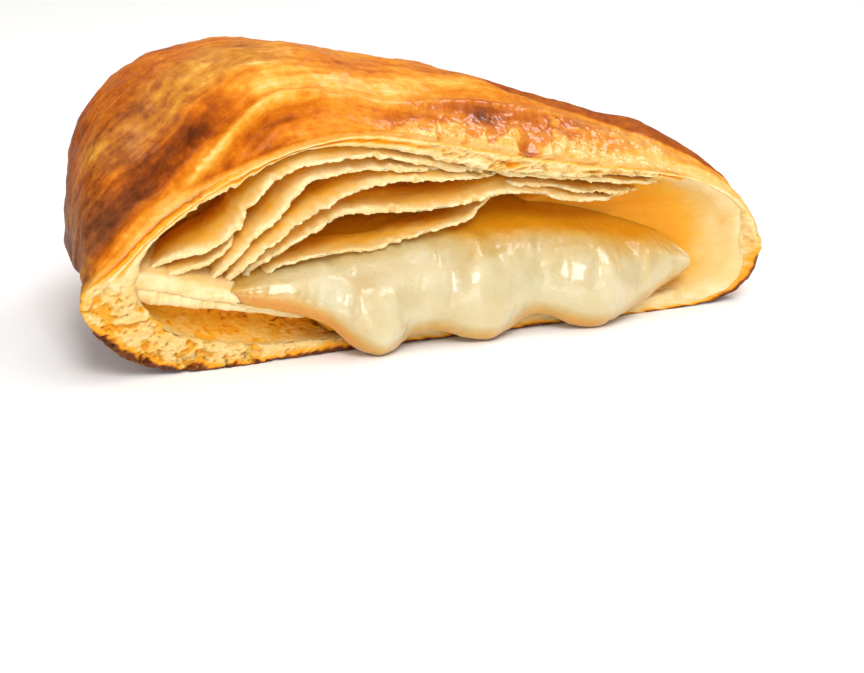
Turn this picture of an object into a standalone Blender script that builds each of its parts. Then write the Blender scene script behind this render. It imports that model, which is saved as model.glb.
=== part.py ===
"""Half of a round cheese pastry, cut through the middle and resting on its flat base.

The shapes are worked out in millimetres with the cut face at y = 0, looking along -Y, and the base at z = 0.
At the end the world origin is put under the middle of the whole box. There are two solids: the pastry, with its
flaky layers and torn flakes as relief, and the cheese that runs through it and droops out of the cut.
"""

import bpy
import bmesh
import numpy as np

MM = 0.001

# Body of the pastry, in millimetres. Y runs back from the cut face.
DEPTH = 60.0            # cut face to the far end
END_HEIGHT = 9.0        # height at which the far end closes
BASE_FLAT_TO = 38.0     # the base is flat up to here, then turns up
BODY_POINTS = 84        # points round one section
BODY_STATIONS = (0.6, 1.8, 3.4, 5.4, 7.8, 10.6, 14.0, 18.0, 22.5, 27.0, 31.5, 36.0, 40.5, 44.5, 48.3, 51.6,
                 54.4, 56.7, 58.4, 59.5)
RIM_INSET = 0.6         # the torn edge of the cut is rounded off by this much
RIM_CRAG = 0.35         # roughness of that edge

# Outline of the cut face, and of the body where the crust has risen to its crest, as (x, z).
# Both lists start under the middle and run round by way of the left.
CUT_OUTLINE = (
    (0, 0), (-20, 0), (-36, 0), (-45, 2.2), (-50.3, 6.8), (-52, 11.6), (-47.6, 15.0),
    (-40, 21.3), (-31, 26.0), (-22, 28.9), (-12, 30.0), (-2, 28.3), (11, 25.2), (24, 22.7),
    (38, 20.0), (46.5, 16.4), (51.2, 11.0), (51.6, 5.8), (48, 1.6), (40, 0), (20, 0),
)
CREST_OUTLINE = (
    (0, 0), (-18, 0), (-33, 0), (-42.5, 2.4), (-47.5, 8.0), (-50.2, 14), (-49.9, 23.2),
    (-46.3, 33.0), (-38.6, 38.6), (-29, 40.8), (-18, 40.4), (-5, 38.0), (9, 34.8), (24, 30.6),
    (39, 25.0), (48, 18.5), (51.5, 12.5), (51, 6.6), (47, 1.8), (39, 0), (20, 0),
)

# Relief of the crust. The seam is where the upper crust laps over the lower lip, all the way round. The ridge
# is the crest of the fold beside the cut, and the valley parts the front of the crust from its back.
SEAM_HEIGHT = 11.6
SEAM_DEPTH = 1.0
SEAM_WIDTH = 1.3
LAP_RISE = 0.5          # how far the crust swells above the seam
RIDGE = ((-44, 0, 18.0), (-37.9, 0, 22.6), (-30.9, 0.6, 27.4), (-28.3, 1.8, 30.3), (-25.8, 3.1, 32.7),
         (-21.8, 4.0, 34.3), (-15, 6.0, 35.8))
RIDGE_RISE = 0.8
RIDGE_WIDTH = 1.9
VALLEY = ((14.8, 13.7, 32.9), (22.8, 10.6, 29.9), (30.7, 7.6, 26.6), (38.2, 5.2, 22.6), (44.4, 4.4, 18.8),
          (49.3, 4.0, 14.2))
VALLEY_DEPTH = 0.8
VALLEY_WIDTH = 1.7
BLISTER_COUNT = 44
BLISTER_RISE = (0.15, 0.55)
BLISTER_RADIUS = (2.5, 6.0)

# Torn flakes on the crust: place round the section from and to, depth behind the cut from and to, width
# and lift.
FLAKES = (
    (0.492, 0.525, 1.0, 2.6, 2.4, 0.6),
    (0.520, 0.550, 2.8, 1.2, 2.6, 0.8),
    (0.545, 0.580, 1.2, 1.5, 2.2, 0.8),
    (0.566, 0.592, 3.6, 2.4, 2.6, 0.7),
    (0.588, 0.620, 1.2, 1.4, 2.4, 0.9),
    (0.606, 0.640, 2.8, 3.4, 3.0, 0.7),
    (0.636, 0.672, 1.1, 1.2, 2.2, 0.7),
    (0.732, 0.760, 1.0, 1.6, 2.6, 1.1),
    (0.752, 0.775, 2.6, 1.2, 3.0, 0.9),
)
FLAKE_STATIONS = 7

# Hollow of the cut face that the layers stand in, as (x, z).
HOLLOW_OUTLINE = (
    (-44.2, 12.8), (-42.1, 17.8), (-37.1, 21.6), (-30.5, 24.6), (-23.0, 28.0), (-14.9, 28.7),
    (-5.0, 27.0), (6.0, 23.8), (18.0, 21.6), (28.2, 20.9), (36.5, 19.2), (43.2, 15.5), (46.8, 10.6),
    (46.8, 6.0), (42.0, 3.2), (31.4, 2.4), (14.9, 2.2), (-3.9, 2.0), (-18.0, 2.0), (-29.1, 2.6),
    (-37.5, 4.6), (-42.6, 8.4),
)
HOLLOW_DEPTH = 15.0
HOLLOW_STATIONS = (-3.0, 0.0, 5.0, 9.5, 13.0, HOLLOW_DEPTH)
HOLLOW_POINTS = 44

# Flaky layers: thickness of the front edge, how far it stands behind the cut, how much thicker the layer grows
# at the back of the hollow, and the middle line of the edge as (x, z).
LAYERS = (
    ("roof", 1.2, 0.4, 4.5, (
        (-43.8, 12.6), (-42.3, 13.8), (-39.5, 14.9), (-35.6, 15.8), (-32.3, 17.2), (-29.7, 19.2),
        (-28.0, 21.6), (-25.6, 24.0), (-22.5, 25.9), (-18.5, 27.2), (-13.9, 27.6), (-8.3, 26.9),
        (-2.4, 25.2), (3.7, 23.4), (10.6, 22.5), (16.0, 22.6),
    )),
    ("second", 1.0, 0.8, 4.0, (
        (-36.0, 10.6), (-32.9, 12.2), (-30.1, 15.0), (-27.5, 17.3), (-24.8, 19.3), (-22.3, 22.0),
        (-20.0, 24.3), (-16.8, 25.2), (-12.4, 25.2), (-8.0, 24.8), (-2.4, 24.2), (2.7, 23.6),
    )),
    ("third", 0.9, 0.6, 3.5, (
        (-34.0, 10.0), (-31.2, 11.4), (-28.4, 14.0), (-25.6, 16.0), (-21.8, 18.6), (-18.3, 20.4),
        (-14.5, 22.0), (-11.3, 22.6), (-7.6, 23.1), (-2.4, 22.9), (5.2, 22.0), (13.0, 21.2), (18.4, 21.6),
    )),
    ("fourth", 0.8, 1.2, 3.5, (
        (-32.4, 9.6), (-29.4, 10.9), (-26.2, 13.5), (-22.7, 15.6), (-18.9, 17.3), (-15.4, 18.5),
        (-12.5, 18.8), (-6.9, 18.5), (-0.9, 18.5), (4.5, 19.0), (9.4, 19.9), (14.6, 19.3), (19.7, 17.3),
        (25.1, 16.2), (32.6, 15.4), (40.0, 14.4), (45.6, 13.4),
    )),
    ("fifth", 0.8, 1.6, 3.0, (
        (-30.5, 9.2), (-27.4, 10.8), (-23.8, 13.0), (-19.4, 14.5), (-14.3, 15.4), (-9.2, 15.9),
        (-3.2, 15.8), (2.4, 15.0), (6.0, 14.0),
    )),
    ("right", 1.3, 0.5, 2.5, (
        (10.5, 22.3), (17.7, 21.2), (24.2, 20.2), (30.7, 19.3), (37.5, 17.6), (42.0, 15.2), (45.2, 11.6),
        (46.6, 8.2),
    )),
    ("tongue", 2.4, 0.2, 2.0, (
        (-46.0, 12.4), (-40.6, 11.4), (-35.8, 10.4), (-31.0, 9.4), (-26.1, 8.0), (-21.8, 6.6),
    )),
    ("left", 0.7, 1.0, 1.5, (
        (-42.8, 12.8), (-40.1, 13.6), (-37.1, 14.4), (-33.8, 15.4), (-31.2, 16.8), (-29.1, 18.7),
    )),
    ("crumb", 1.0, 1.4, 1.0, (
        (-43.0, 6.4), (-38.6, 5.6), (-33.4, 4.5), (-27.6, 3.6), (-22.4, 3.2),
    )),
)
LAYER_STEP = 3.0        # spacing of the points along a layer
LAYER_ROWS = 4          # rows from the front edge to the back
LAYER_BACK = 16.5       # just past the hollow, so that every layer is fused to the dough
RAGGED = 0.35           # how far the front edges wander
FADE = 0.22             # share of a layer's length over which its back thins out at each end

# The melted cheese along x: top of the filling, lowest point of the front, and how far the front swells out.
CHEESE_TOP = (
    (-33, 10.4), (-29.5, 11.7), (-23.8, 13.1), (-17.3, 14.1), (-9.9, 14.9), (-2.4, 15.6), (5.3, 16.1),
    (14.6, 16.0), (22.7, 14.9), (31, 12.5), (36.1, 9.6), (39.8, 6.6),
)
CHEESE_LOW = (
    (-33, 9.9), (-28, 8.4), (-23.5, 6.9), (-19.3, 5.0), (-16, 2.2), (-12.1, 0.3), (-8.6, 1.0),
    (-5.4, 2.1), (-2, 1.9), (1.5, 0.7), (4.9, 0.3), (8.6, 1.0), (12.4, 2.4), (15.6, 1.9), (19, 0.7),
    (22, 0.3), (26, 0.8), (30, 2.0), (34.5, 3.7), (39.8, 6.2),
)
CHEESE_SWELL = (
    (-33, 0.4), (-26, 1.6), (-19, 3.6), (-12, 6.2), (-5.4, 4.6), (5, 6.0), (12.4, 4.4), (22, 6.2),
    (30, 3.8), (36, 1.6), (39.8, 0.4),
)
CHEESE_DEPTH = 40.0
CHEESE_FLOOR = 2.6      # underside of the filling, on the dough of the base
CHEESE_LOWEST = 0.15    # the lobes stay just off what the pastry stands on
CHEESE_STATIONS = 46
CHEESE_POINTS = 28
CLEARANCE = 0.35        # gap between the two solids


def ease(value):
    """Smooth step from 0 to 1."""
    value = np.clip(value, 0, 1)
    return value * value * (3 - 2 * value)


def closed_curve(points, where):
    """Catmull-Rom curve through a closed list of points; where runs from 0 to 1 round it."""
    points = np.asarray(points, float)
    count = len(points)
    place = np.asarray(where, float) % 1.0 * count
    index = np.floor(place).astype(int)
    part = (place - index)[..., None]
    a, b, c, d = (points[(index + shift) % count] for shift in (-1, 0, 1, 2))
    return b + 0.5 * part * (c - a + part * (2 * a - 5 * b + 4 * c - d + part * (3 * (b - c) + d - a)))


def open_curve(points, where):
    """Catmull-Rom curve through an open list of points; where runs from 0 to 1 along it."""
    points = np.asarray(points, float)
    ends = np.vstack([2 * points[0] - points[1], points, 2 * points[-1] - points[-2]])
    place = np.clip(np.asarray(where, float), 0, 1) * (len(points) - 1)
    index = np.minimum(place.astype(int), len(points) - 2)
    part = (place - index)[..., None]
    a, b, c, d = (ends[index + shift] for shift in range(4))
    return b + 0.5 * part * (c - a + part * (2 * a - 5 * b + 4 * c - d + part * (3 * (b - c) + d - a)))


def even_places(curve, points, count, closed):
    """Places on a curve that are the same length apart."""
    fine = np.linspace(0, 1, 1500)
    steps = np.linalg.norm(np.diff(curve(points, fine), axis=0), axis=1)
    length = np.concatenate([[0], np.cumsum(steps)])
    wanted = np.linspace(0, length[-1], count, endpoint=not closed)
    return np.interp(wanted, length, fine)


def body_section(where, depth):
    """Plain section of the body at one depth. The crust climbs from the cut outline to the crest outline, then
    tapers to the far end like a superellipse."""
    crest = closed_curve(CREST_OUTLINE, where)
    over_the_top = ease((crest[:, 1] - 16) / 18) * ease((crest[:, 0] + 48) / 18)
    climb = 1 - (1 - np.clip(depth / (7 + 9 * over_the_top), 0, 1)) ** 1.9
    section = closed_curve(CUT_OUTLINE, where) * (1 - climb)[:, None] + crest * climb[:, None]
    along = depth / DEPTH
    width = (1 - along ** 2.3) ** (1 / 2.1)
    height = (1 - along ** 3.2) ** 0.5
    turned_up = max(0.0, (depth - BASE_FLAT_TO) / (DEPTH - BASE_FLAT_TO))
    base = (1 - turned_up ** 2.6) ** 0.5
    above = section[:, 1] - END_HEIGHT
    z = END_HEIGHT + above * np.where(above > 0, height, base)
    return np.column_stack([section[:, 0] * width, np.full(len(where), depth), z])


def outward(section):
    """Unit vectors in the plane of a section that point out of it; the points run clockwise seen from the cut."""
    along = np.roll(section, -1, axis=0) - np.roll(section, 1, axis=0)
    side = np.column_stack([-along[:, 2], np.zeros(len(section)), along[:, 0]])
    return side / np.maximum(np.linalg.norm(side, axis=1), 1e-9)[:, None]


def distance_to_line(points, line):
    """Distance from each point to the nearest place on a line of straight pieces."""
    nearest = np.full(len(points), np.inf)
    for start, end in zip(np.asarray(line[:-1], float), np.asarray(line[1:], float)):
        piece = end - start
        share = np.clip((points - start) @ piece / (piece @ piece), 0, 1)
        nearest = np.minimum(nearest, np.linalg.norm(points - start - share[:, None] * piece, axis=1))
    return nearest


def blister_places():
    """Middle, radius and rise of each blister, drawn over the upper crust."""
    draw = np.random.default_rng(7)
    places = []
    for _ in range(BLISTER_COUNT):
        middle = body_section(np.array([draw.uniform(0.29, 0.74)]), draw.uniform(4, 52))[0]
        places.append((middle, draw.uniform(*BLISTER_RADIUS), draw.uniform(*BLISTER_RISE)))
    return places


def relief(points, blisters):
    """Height of the crust's relief at points of the plain body: blisters, ridge, valley, seam and lap."""
    height = np.zeros(len(points))
    for middle, radius, rise in blisters:
        height += rise * np.exp(-(np.linalg.norm(points - middle, axis=1) / radius) ** 2)
    height += RIDGE_RISE * np.exp(-(distance_to_line(points, RIDGE) / RIDGE_WIDTH) ** 2)
    height -= VALLEY_DEPTH * np.exp(-(distance_to_line(points, VALLEY) / VALLEY_WIDTH) ** 2)
    over_seam = points[:, 2] - SEAM_HEIGHT
    side = ease((points[:, 1] - 1.5) / 5)
    height -= side * SEAM_DEPTH * np.exp(-(over_seam / SEAM_WIDTH) ** 2)
    height += side * LAP_RISE * np.exp(-((over_seam - 2.4) / 1.6) ** 2)
    return height * ease((points[:, 2] - 1) / 4)


def body_places():
    """Places round the body for its points, closer together beside the seam at the left and the right."""
    fine = np.linspace(0, 1, 3000)
    outline = closed_curve(CREST_OUTLINE, fine)
    steps = np.linalg.norm(np.diff(outline, axis=0), axis=1)
    middle = (outline[1:] + outline[:-1]) / 2
    closeness = 1 + 1.6 * np.exp(-((middle[:, 1] - SEAM_HEIGHT) / 3.5) ** 2)
    length = np.concatenate([[0], np.cumsum(steps * closeness)])
    return np.interp(np.linspace(0, length[-1], BODY_POINTS, endpoint=False), length, fine)


def mesh_object(name, collection, vertices, faces):
    """Makes a mesh object with its faces pointing out."""
    mesh = bpy.data.meshes.new(name)
    mesh.from_pydata([tuple(float(c) * MM for c in v) for v in vertices], [], faces)
    build = bmesh.new()
    build.from_mesh(mesh)
    bmesh.ops.recalc_face_normals(build, faces=build.faces)
    build.to_mesh(mesh)
    build.free()
    thing = bpy.data.objects.new(name, mesh)
    collection.objects.link(thing)
    return thing


def loft(name, collection, rings, first_pole, last_pole):
    """Skins a row of equal rings, and closes each end with a fan of triangles to a pole."""
    count = len(rings[0])
    vertices = [tuple(p) for ring in rings for p in ring] + [tuple(first_pole), tuple(last_pole)]
    faces = []
    for row in range(len(rings) - 1):
        for i in range(count):
            j = (i + 1) % count
            faces.append((row * count + i, row * count + j, (row + 1) * count + j, (row + 1) * count + i))
    start, end = len(rings) * count, len(rings) * count + 1
    last = (len(rings) - 1) * count
    for i in range(count):
        j = (i + 1) % count
        faces.append((start, j, i))
        faces.append((end, last + i, last + j))
    return mesh_object(name, collection, vertices, faces)


def make_body(collection):
    """Whole body of the half pastry, with a plain cut face whose edge is rounded and rough."""
    where = body_places()
    blisters = blister_places()
    rings = []
    for depth in BODY_STATIONS:
        section = body_section(where, depth)
        fade = ease((DEPTH - depth) / 8)
        section += outward(section) * (relief(section, blisters) * fade)[:, None]
        section[:, 2] = np.maximum(section[:, 2], 0)
        rings.append(section)
    crags = np.random.default_rng(3).uniform(0, RIM_CRAG, (2, BODY_POINTS))
    rim = body_section(where, 0.0)
    rough = ease((rim[:, 2] - 0.5) / 2)
    rim -= outward(rim) * (RIM_INSET + crags[0] * rough)[:, None]
    rim[:, 1] = crags[1] * rough
    rim[:, 2] = np.maximum(rim[:, 2], 0)
    rings.insert(0, rim)
    middle = rim.mean(axis=0)
    return loft("pastry", collection, rings, middle, (0, DEPTH, END_HEIGHT))


def make_flake(collection, number, where_from, where_to, depth_from, depth_to, width, lift):
    """A torn flake: a thin sliver that lies on the crust, with its ends pressed in and its front edge raised."""
    share = np.linspace(0, 1, FLAKE_STATIONS)
    bulge = np.sin(np.pi * np.clip(share, 0.04, 0.96)) ** 0.7
    rings = []
    for i in range(FLAKE_STATIONS):
        place = where_from + (where_to - where_from) * share[i]
        depth = depth_from + (depth_to - depth_from) * share[i]
        half = width / 2 * bulge[i]
        near, far = max(0.1, depth - half), depth + half
        step = 0.002
        surface = [body_section(np.array([place - step, place, place + step]), d) for d in (near, depth, far)]
        front, middle, back = (section[1] for section in surface)
        out = outward(surface[1])[1]
        rings.append(np.array([
            front + out * lift * 0.35 * bulge[i],
            front + out * lift * bulge[i],
            middle + out * lift * 0.75 * bulge[i],
            back + out * 0.1,
            back - out * 0.8,
            middle - out * 1.4,
        ]))
    return loft("flake_%02d" % number, collection, rings, rings[0].mean(axis=0), rings[-1].mean(axis=0))


def make_hollow(collection):
    """Cutter for the hollow behind the cut face: the outline shrinks with depth like a shallow bowl."""
    where = even_places(closed_curve, HOLLOW_OUTLINE, HOLLOW_POINTS, True)
    outline = closed_curve(HOLLOW_OUTLINE, where)
    middle = outline.mean(axis=0)
    rings = []
    for depth in HOLLOW_STATIONS:
        size = (1 - 0.55 * max(0.0, depth / HOLLOW_DEPTH) ** 3) ** 0.5
        section = middle + (outline - middle) * size
        section[:, 1] = np.maximum(section[:, 1], outline[:, 1].min())
        rings.append(np.column_stack([section[:, 0], np.full(len(where), depth), section[:, 1]]))
    front = (middle[0], rings[0][0, 1], middle[1])
    back = (middle[0], HOLLOW_DEPTH, middle[1])
    return loft("hollow", collection, rings, front, back)


def make_layer(collection, number, name, thickness, set_back, growth, line):
    """One flaky layer: a thin wedge with a ragged front edge, which thickens upwards to the back of the hollow."""
    length = np.linalg.norm(np.diff(np.asarray(line, float), axis=0), axis=1).sum()
    count = max(5, int(length / LAYER_STEP))
    where = even_places(open_curve, line, count, False)
    middle = open_curve(line, where)
    slope = np.gradient(middle, axis=0)
    slope /= np.linalg.norm(slope, axis=1)[:, None]
    upward = np.column_stack([-slope[:, 1], slope[:, 0]])
    wander = np.random.default_rng(40 + number).uniform(-RAGGED, RAGGED, count)
    edge = np.maximum(set_back + wander, 0.1)
    evenly = np.linspace(0, 1, count)
    full = ease(np.minimum(evenly, 1 - evenly) / FADE)[:, None]
    rows = []
    for row in range(LAYER_ROWS):
        share = row / (LAYER_ROWS - 1)
        depth = edge * (1 - share) + LAYER_BACK * share
        top = middle + upward * (thickness / 2 + growth * full * share ** 1.3)
        under = middle - upward * (thickness / 2 + 0.3 * share)
        rows.append((np.insert(top, 1, depth, axis=1), np.insert(under, 1, depth, axis=1)))
    rings = [np.vstack([[r[0][i] for r in rows], [r[1][i] for r in rows[::-1]]]) for i in range(count)]
    return loft(name, collection, rings, rings[0].mean(axis=0), rings[-1].mean(axis=0))


def profile_at(points, x):
    """Height of a line of (x, value) points at each x, as a smooth curve."""
    points = np.asarray(points, float)
    fine = open_curve(points, np.linspace(0, 1, 600))
    return np.interp(x, fine[:, 0], fine[:, 1])


def cheese_sections(stations, count):
    """Rings of the cheese, one for each x. Each is a smooth loop from the back of the filling over its top, down
    the swollen front to the lip of the base, and back along the dough."""
    x = stations
    start, end = CHEESE_TOP[0][0], CHEESE_TOP[-1][0]
    top, low = profile_at(CHEESE_TOP, x), profile_at(CHEESE_LOW, x)
    swell = profile_at(CHEESE_SWELL, x)
    across = np.abs((x - (start + end) / 2) / ((end - start) / 2))
    fullness = np.sqrt(np.maximum(1 - across ** 3.0, 0))
    back = CHEESE_DEPTH * fullness ** 0.8
    height = top - low
    floor = np.minimum(np.maximum(CHEESE_FLOOR, low - 0.4), top)
    lip = np.maximum(low + 0.15 * height, np.minimum(CHEESE_FLOOR, low + 0.5 * height))
    inside = CHEESE_FLOOR + 0.1
    centre = (top + np.minimum(low, top)) / 2
    loop = (
        (back, centre + 0.22 * height),
        (0.72 * back, top - 0.12 * height),
        (0.36 * back, top + 0.4),
        (3.2 + 0 * x, top),
        (-0.30 * swell, top - 0.13 * height),
        (-0.72 * swell, top - 0.36 * height),
        (-0.98 * swell, top - 0.64 * height),
        (-0.93 * swell, top - 0.87 * height),
        (-0.62 * swell, low),
        (-0.62 + 0 * x, lip - 0.25),
        (1.2 + 0 * x, floor + 0.1),
        (0.22 * back, np.minimum(floor, 0.5 * floor + 0.5 * inside)),
        (0.5 * back, inside + 0 * x),
        (0.82 * back, inside + 0.5 + 0 * x),
    )
    control = np.stack([np.stack([y, z], -1) for y, z in loop])
    place = np.arange(count) / count
    rings = closed_curve(control.reshape(len(loop), -1), place).reshape(count, len(x), 2)
    rings[..., 0] *= fullness
    rings[..., 1] = centre + (rings[..., 1] - centre) * fullness ** 0.5
    rings[..., 1] = np.maximum(rings[..., 1], CHEESE_LOWEST)
    return [np.column_stack([np.full(count, x[i]), rings[:, i, 0], rings[:, i, 1]]) for i in range(len(x))]


def make_cheese(name, collection):
    """The filling with its three drooping lobes."""
    start, end = CHEESE_TOP[0][0], CHEESE_TOP[-1][0]
    turn = np.linspace(0, np.pi, CHEESE_STATIONS + 2)[1:-1]
    even = np.linspace(0, 1, CHEESE_STATIONS + 2)[1:-1]
    share = 0.3 * (1 - np.cos(turn)) / 2 + 0.7 * even
    rings = cheese_sections(start + (end - start) * share, CHEESE_POINTS)
    first = (start, 0.3, CHEESE_TOP[0][1] - 0.25)
    last = (end, 0.3, CHEESE_TOP[-1][1] - 0.2)
    return loft(name, collection, rings, first, last)


def boolean(thing, operation, other):
    """Adds a Boolean with one object or with a collection."""
    modifier = thing.modifiers.new(operation.lower(), "BOOLEAN")
    modifier.operation = operation
    modifier.solver = "EXACT"
    if isinstance(other, bpy.types.Collection):
        modifier.operand_type = "COLLECTION"
        modifier.collection = other
    else:
        modifier.object = other
    return modifier


def apply_modifiers(thing):
    """Turns the evaluated shape into the object's own mesh."""
    graph = bpy.context.evaluated_depsgraph_get()
    shape = bpy.data.meshes.new_from_object(thing.evaluated_get(graph))
    thing.modifiers.clear()
    thing.data = shape


def keep_largest_body(thing):
    """Drops scraps that a cut left loose, and the walls of hollows that fusing has sealed."""
    build = bmesh.new()
    build.from_mesh(thing.data)
    build.verts.ensure_lookup_table()
    unseen, islands = set(build.verts), []
    while unseen:
        island, edge_of_search = set(), [unseen.pop()]
        while edge_of_search:
            vertex = edge_of_search.pop()
            island.add(vertex)
            for edge in vertex.link_edges:
                other = edge.other_vert(vertex)
                if other in unseen:
                    unseen.remove(other)
                    edge_of_search.append(other)
        islands.append(island)
    islands.sort(key=len)
    for island in islands[:-1]:
        bmesh.ops.delete(build, geom=list(island), context="VERTS")
    build.to_mesh(thing.data)
    build.free()
    print(thing.name, "islands dropped, in vertices:", [len(island) for island in islands[:-1]])


def helper(thing):
    """Marks an object as a cutter, which is not part of the model."""
    thing.hide_render = True
    thing.display_type = "WIRE"


def material(name, colour, roughness):
    """Plain Principled material."""
    made = bpy.data.materials.new(name)
    made.use_nodes = True
    shader = made.node_tree.nodes["Principled BSDF"]
    shader.inputs["Base Color"].default_value = (*colour, 1.0)
    shader.inputs["Roughness"].default_value = roughness
    shader.inputs["Metallic"].default_value = 0.0
    return made


def set_origin(things):
    """Moves the meshes so that the world origin is under the middle of the whole box."""
    corners = np.array([v.co[:] for thing in things for v in thing.data.vertices])
    low, high = corners.min(axis=0), corners.max(axis=0)
    shift = np.array([(low[0] + high[0]) / 2, (low[1] + high[1]) / 2, low[2]])
    for thing in things:
        for vertex in thing.data.vertices:
            vertex.co = vertex.co[:] - shift
    print("box from", np.round(low / MM, 3), "to", np.round(high / MM, 3), "origin at", np.round(shift / MM, 3))


def main():
    for old in list(bpy.data.objects):
        bpy.data.objects.remove(old)
    scene = bpy.context.scene
    model = bpy.data.collections.new("cheese_pastry")
    cutters = bpy.data.collections.new("cutters")
    layers = bpy.data.collections.new("layers")
    for group in (model, cutters, layers):
        scene.collection.children.link(group)

    pastry = make_body(model)
    cheese = make_cheese("cheese", model)

    hollow = make_hollow(cutters)
    helper(hollow)
    boolean(pastry, "DIFFERENCE", hollow)
    for number, layer in enumerate(LAYERS):
        helper(make_layer(layers, number, *layer))
    for number, flake in enumerate(FLAKES):
        helper(make_flake(layers, number, *flake))
    boolean(pastry, "UNION", layers)
    pocket = make_cheese("pocket", cutters)
    helper(pocket)
    swollen = pocket.modifiers.new("clearance", "DISPLACE")
    swollen.strength = CLEARANCE * MM
    swollen.mid_level = 0.0
    boolean(pastry, "DIFFERENCE", pocket)
    apply_modifiers(pastry)
    keep_largest_body(pastry)
    for thing in list(layers.objects) + list(cutters.objects):
        bpy.data.objects.remove(thing)

    pastry.data.materials.clear()
    pastry.data.materials.append(material("baked_pastry", (0.72, 0.42, 0.12), 0.5))
    cheese.data.materials.append(material("melted_cheese", (0.88, 0.78, 0.50), 0.3))
    set_origin((pastry, cheese))
    for thing in (pastry, cheese):
        thing.data.shade_smooth()
        thing.data.set_sharp_from_angle(angle=0.6)


main()
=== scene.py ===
# %% [markdown]
# # Half of a cheese pastry, cut open while warm
# A round of puff dough was folded over soft cheese, brushed with egg, baked and cut through. The cut
# shows three things: a thin glossy crust, pale leaves of dough that fan apart over a hollow, and the
# cheese that droops over the lip of the base. Each of them gets its own surface, worked out with numpy,
# and its own material.

import bpy
import numpy as np
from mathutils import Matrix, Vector


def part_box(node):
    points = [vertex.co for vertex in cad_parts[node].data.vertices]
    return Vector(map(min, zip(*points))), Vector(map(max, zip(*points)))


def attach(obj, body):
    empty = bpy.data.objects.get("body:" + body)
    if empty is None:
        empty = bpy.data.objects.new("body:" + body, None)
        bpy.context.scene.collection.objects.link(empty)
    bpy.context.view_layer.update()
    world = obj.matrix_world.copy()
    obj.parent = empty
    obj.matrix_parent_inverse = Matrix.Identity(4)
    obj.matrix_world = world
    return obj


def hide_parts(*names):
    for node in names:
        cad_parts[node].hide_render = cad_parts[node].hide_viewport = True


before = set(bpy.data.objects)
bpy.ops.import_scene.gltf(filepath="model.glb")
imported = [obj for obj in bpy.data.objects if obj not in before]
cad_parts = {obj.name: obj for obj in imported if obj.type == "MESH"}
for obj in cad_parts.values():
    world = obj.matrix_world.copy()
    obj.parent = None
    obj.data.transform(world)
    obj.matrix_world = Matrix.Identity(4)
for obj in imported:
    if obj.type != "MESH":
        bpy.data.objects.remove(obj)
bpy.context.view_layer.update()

MM = 0.001

# %% [markdown]
# ## One drawing frame
# The pastry is drawn in millimetres, with the cut face at y = 0 looking along -y and the base at z = 0.
# The solids have their origin under the middle of their box instead, so one shift takes the drawing
# there. It is read from the solids: the cheese runs from x = -33 to x = 39.8 in the drawing, and the far
# end of the pastry is at y = 60.

# %% Shift from the drawing to the solids
CHEESE_ENDS = (-33.0, 39.8)
DEPTH = 60.0
cheese_low, cheese_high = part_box("cheese")
pastry_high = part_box("pastry")[1]
SHIFT = np.array([
    (sum(CHEESE_ENDS) - (cheese_low.x + cheese_high.x) / MM) / 2,
    DEPTH - pastry_high.y / MM,
    0.0,
])
print("drawing origin to solids' origin, mm:", SHIFT.round(3))

# %% [markdown]
# ## Curves and steps
# Outlines are a few points that a Catmull-Rom curve runs through, because baked dough has no corners and
# no straight lines. A smooth step is used wherever one thing has to fade into another, and a bell curve
# for everything that is strongest on a line or at a spot.

# %% Curves and steps


def ease(value):
    """Smooth step from 0 to 1: 3t^2 - 2t^3 with t held between 0 and 1."""
    value = np.clip(value, 0, 1)
    return value * value * (3 - 2 * value)


def bell(value):
    """Bell curve, 1 at 0 and nearly 0 from 2 on: e to the power of minus the square."""
    return np.exp(-value ** 2)


def spline(four, part):
    """Catmull-Rom blend of four neighbouring points, part of the way from the second to the third."""
    a, b, c, d = four
    return b + 0.5 * part * (c - a + part * (2 * a - 5 * b + 4 * c - d + part * (3 * (b - c) + d - a)))


def closed_curve(points, where):
    """Smooth closed curve through points; where runs from 0 to 1 once round it."""
    points = np.asarray(points, float)
    place = np.asarray(where, float) % 1.0 * len(points)
    index = np.floor(place).astype(int)
    four = [points[(index + step) % len(points)] for step in (-1, 0, 1, 2)]
    return spline(four, (place - index)[..., None])


def open_curve(points, where):
    """Smooth open curve through points; where runs from 0 to 1 along it."""
    points = np.asarray(points, float)
    ends = np.vstack([2 * points[0] - points[1], points, 2 * points[-1] - points[-2]])
    place = np.clip(np.asarray(where, float), 0, 1) * (len(points) - 1)
    index = np.minimum(place.astype(int), len(points) - 2)
    return spline([ends[index + step] for step in range(4)], (place - index)[..., None])


def spread(curve, points, count, closed, density=None):
    """Places along a curve at even spacing, or closer together where density, a function of its points,
    is high."""
    fine = np.linspace(0, 1, 4000)
    line = curve(points, fine)
    steps = np.linalg.norm(np.diff(line, axis=0), axis=1)
    if density is not None:
        steps = steps * density((line[1:] + line[:-1]) / 2)
    length = np.concatenate([[0], np.cumsum(steps)])
    return np.interp(np.linspace(0, length[-1], count, endpoint=not closed), length, fine)


def height_along(points, x):
    """Smooth curve of (x, value) points, read at each x."""
    fine = open_curve(points, np.linspace(0, 1, 1500))
    return np.interp(x, fine[:, 0], fine[:, 1])


# %% [markdown]
# ## Natural unevenness
# Dough is never even, so every surface gets noise. It is value noise: each whole-number corner of space
# has a random number, and a point gets the smooth blend of the eight corners round it. Stretching the
# coordinates first stretches the pattern, which is how streaks are made. Cells, for pores, keep the
# distance to the nearest of many scattered points.

# %% Noise


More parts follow.
